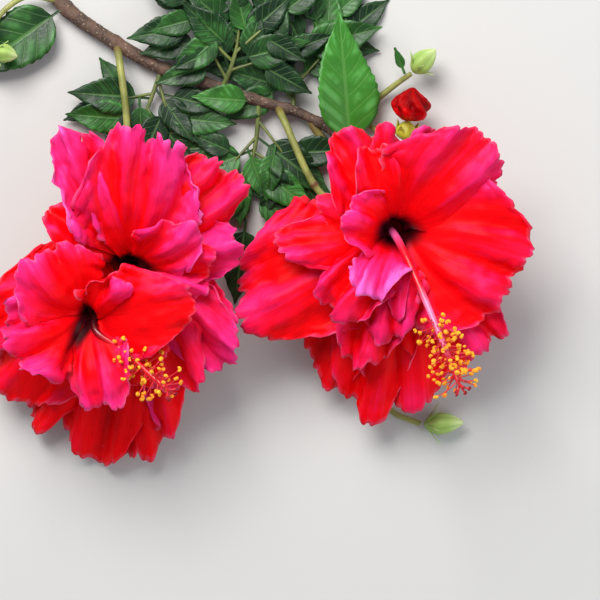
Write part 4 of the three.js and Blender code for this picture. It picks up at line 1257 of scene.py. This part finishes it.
def addSpray(blades, twigs, spray, limbs):
    form, seed, lift, sideTwigs = sprayForm, spray["seed"], spray["lift"], spray["sideTwigs"]
    points, headings = addTwig(blades, twigs, spray["twig"], form["twigRadius"], spray["leaves"], seed, lift,
                               form["leafLength"], limbs)
    turned, turnRange = form["sideTurn"]
    for count in range(sideTwigs):
        at = int(form["steps"] * (form["firstSide"] + form["sideRun"] * count / sideTwigs))
        start, flat = points[at], headings[at][:2]
        turn = math.radians((-1) ** count * (turned + turnRange * chance(seed, count + 80)))
        heading = level(math.atan2(flat[1], flat[0]) + turn) * np.hypot(*flat)
        run = heading * form["sideLength"] * (1 + form["sideRange"] * chance(seed, count + 90))
        way = [start, start + 0.5 * run + up * form["sideArch"], start + run - up]
        addTwig(blades, twigs, way, form["sideRadius"], form["sideLeaves"], seed + 30 + count,
                lift - form["sideDrop"], form["sideLeaf"], limbs)


def buildLeaves():
    blades, twigs = newBatch(), newBatch()
    for seed, leaf in enumerate(singleLeaves.values(), 500):
        addLeaf(blades, leaf, seed)
    limbs = limbPlaces()
    for spray in leafSprays.values():
        addSpray(blades, twigs, spray, limbs)
    leaves = walled(blades, "leafBlades", leafMaterial(), leafForm["thickness"])
    return leaves, limbPiece(twigs, "leafTwigs", stalkMaterial("leafTwig"), sprayForm["twigSides"])


stem = buildWoodyStem()
stalks = buildGreenStalks()
print("stems grown")
columnTubes, filaments, styles, anthers, stigmas = buildColumns()
print("stamens set")
cups, lobes = buildCalyces()
buds, budBracts = buildBuds()
spentBloom = buildSpentBloom()
print("calyces and buds made")
leafBlades, leafTwigs = buildLeaves()
print("leaves spread")

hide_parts("right_bloom")
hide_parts("left_bloom")
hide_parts("main_stem")
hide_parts(*greenStalks)
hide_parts("right_column", "left_column")
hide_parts("right_calyx", "left_calyx", "spent_calyx")
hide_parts(*budForms)
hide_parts("spent_bloom")
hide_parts(*singleLeaves, *leafSprays)
slots = {
    "petal": (rightPetals, leftPetals, spentBloom),
    "stamen": (columnTubes, filaments, styles, anthers, stigmas),
    "calyx": (cups, lobes), "bud": (buds, budBracts), "leaf": (leafBlades,), "stalk": (stalks, leafTwigs),
    "bark": (stem,),
}
for slot, pieces in slots.items():
    for piece in pieces:
        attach(piece, "root")

# Studio: a pale floor, a big soft light from the picture's top left and a weak one from its right, in metres
studio = {
    "floor": (0.60, 0.59, 0.57), "floorHalf": 3.0, "midHeight": 0.045, "distance": 1.3, "lightSize": 0.8,
    "key": {"place": (-0.35, 0.75, 1.0), "power": 23, "colour": (1.0, 0.98, 0.96)},
    "fill": {"place": (0.9, -0.4, 0.6), "power": 4, "colour": (0.9, 0.95, 1.0)},
    "sky": (0.86, 0.92, 1.0), "skyStrength": 0.42,
}


def areaLight(name):
    look = studio[name]
    light = bpy.data.lights.new(name, "AREA")
    light.size = studio["lightSize"]
    light.energy = look["power"]
    light.color = look["colour"]
    lamp = newObject(name, light)
    lamp.location = look["place"]
    lamp.rotation_euler = (-lamp.location).to_track_quat("-Z", "Y").to_euler()


def setStudio():
    mesh = bpy.data.meshes.new("floor")
    far = studio["floorHalf"]
    mesh.from_pydata([(-far, -far, 0), (far, -far, 0), (far, far, 0), (-far, far, 0)], [], [(0, 1, 2, 3)])
    material, tree, shader = newMaterial("floorPaper")
    pale = studio["floor"]
    uneven = span(tree, noise(tree, objectPlace(tree), 3.0, 2.0), 0.3, 0.7, 0.0, 0.06)
    fill(tree, shader, Base_Color=blend(tree, uneven, pale, tuple(0.8 * c for c in pale)), Roughness=0.9)
    mesh.materials.append(material)
    newObject("floor", mesh)
    world = bpy.data.worlds.new("softRoom")
    world.use_nodes = True
    fill(world.node_tree, world.node_tree.nodes["Background"], Color=(*studio["sky"], 1),
         Strength=studio["skyStrength"])
    bpy.context.scene.world = world
    areaLight("key")
    areaLight("fill")
    bpy.context.scene.view_settings.view_transform = "Standard"


def setCamera():
    # looks straight down at the picture's middle, over the blooms' mid height
    lens = bpy.data.cameras.new("camera")
    lens.sensor_width = 36
    lens.lens = lens.sensor_width * studio["distance"] / (drawn["pixels"] * drawn["pixel"] * mm)
    camera = newObject("camera", lens)
    camera.location = (shift[0], shift[1], studio["midHeight"] + studio["distance"])
    bpy.context.scene.camera = camera


setStudio()
setCamera()
print("studio set")
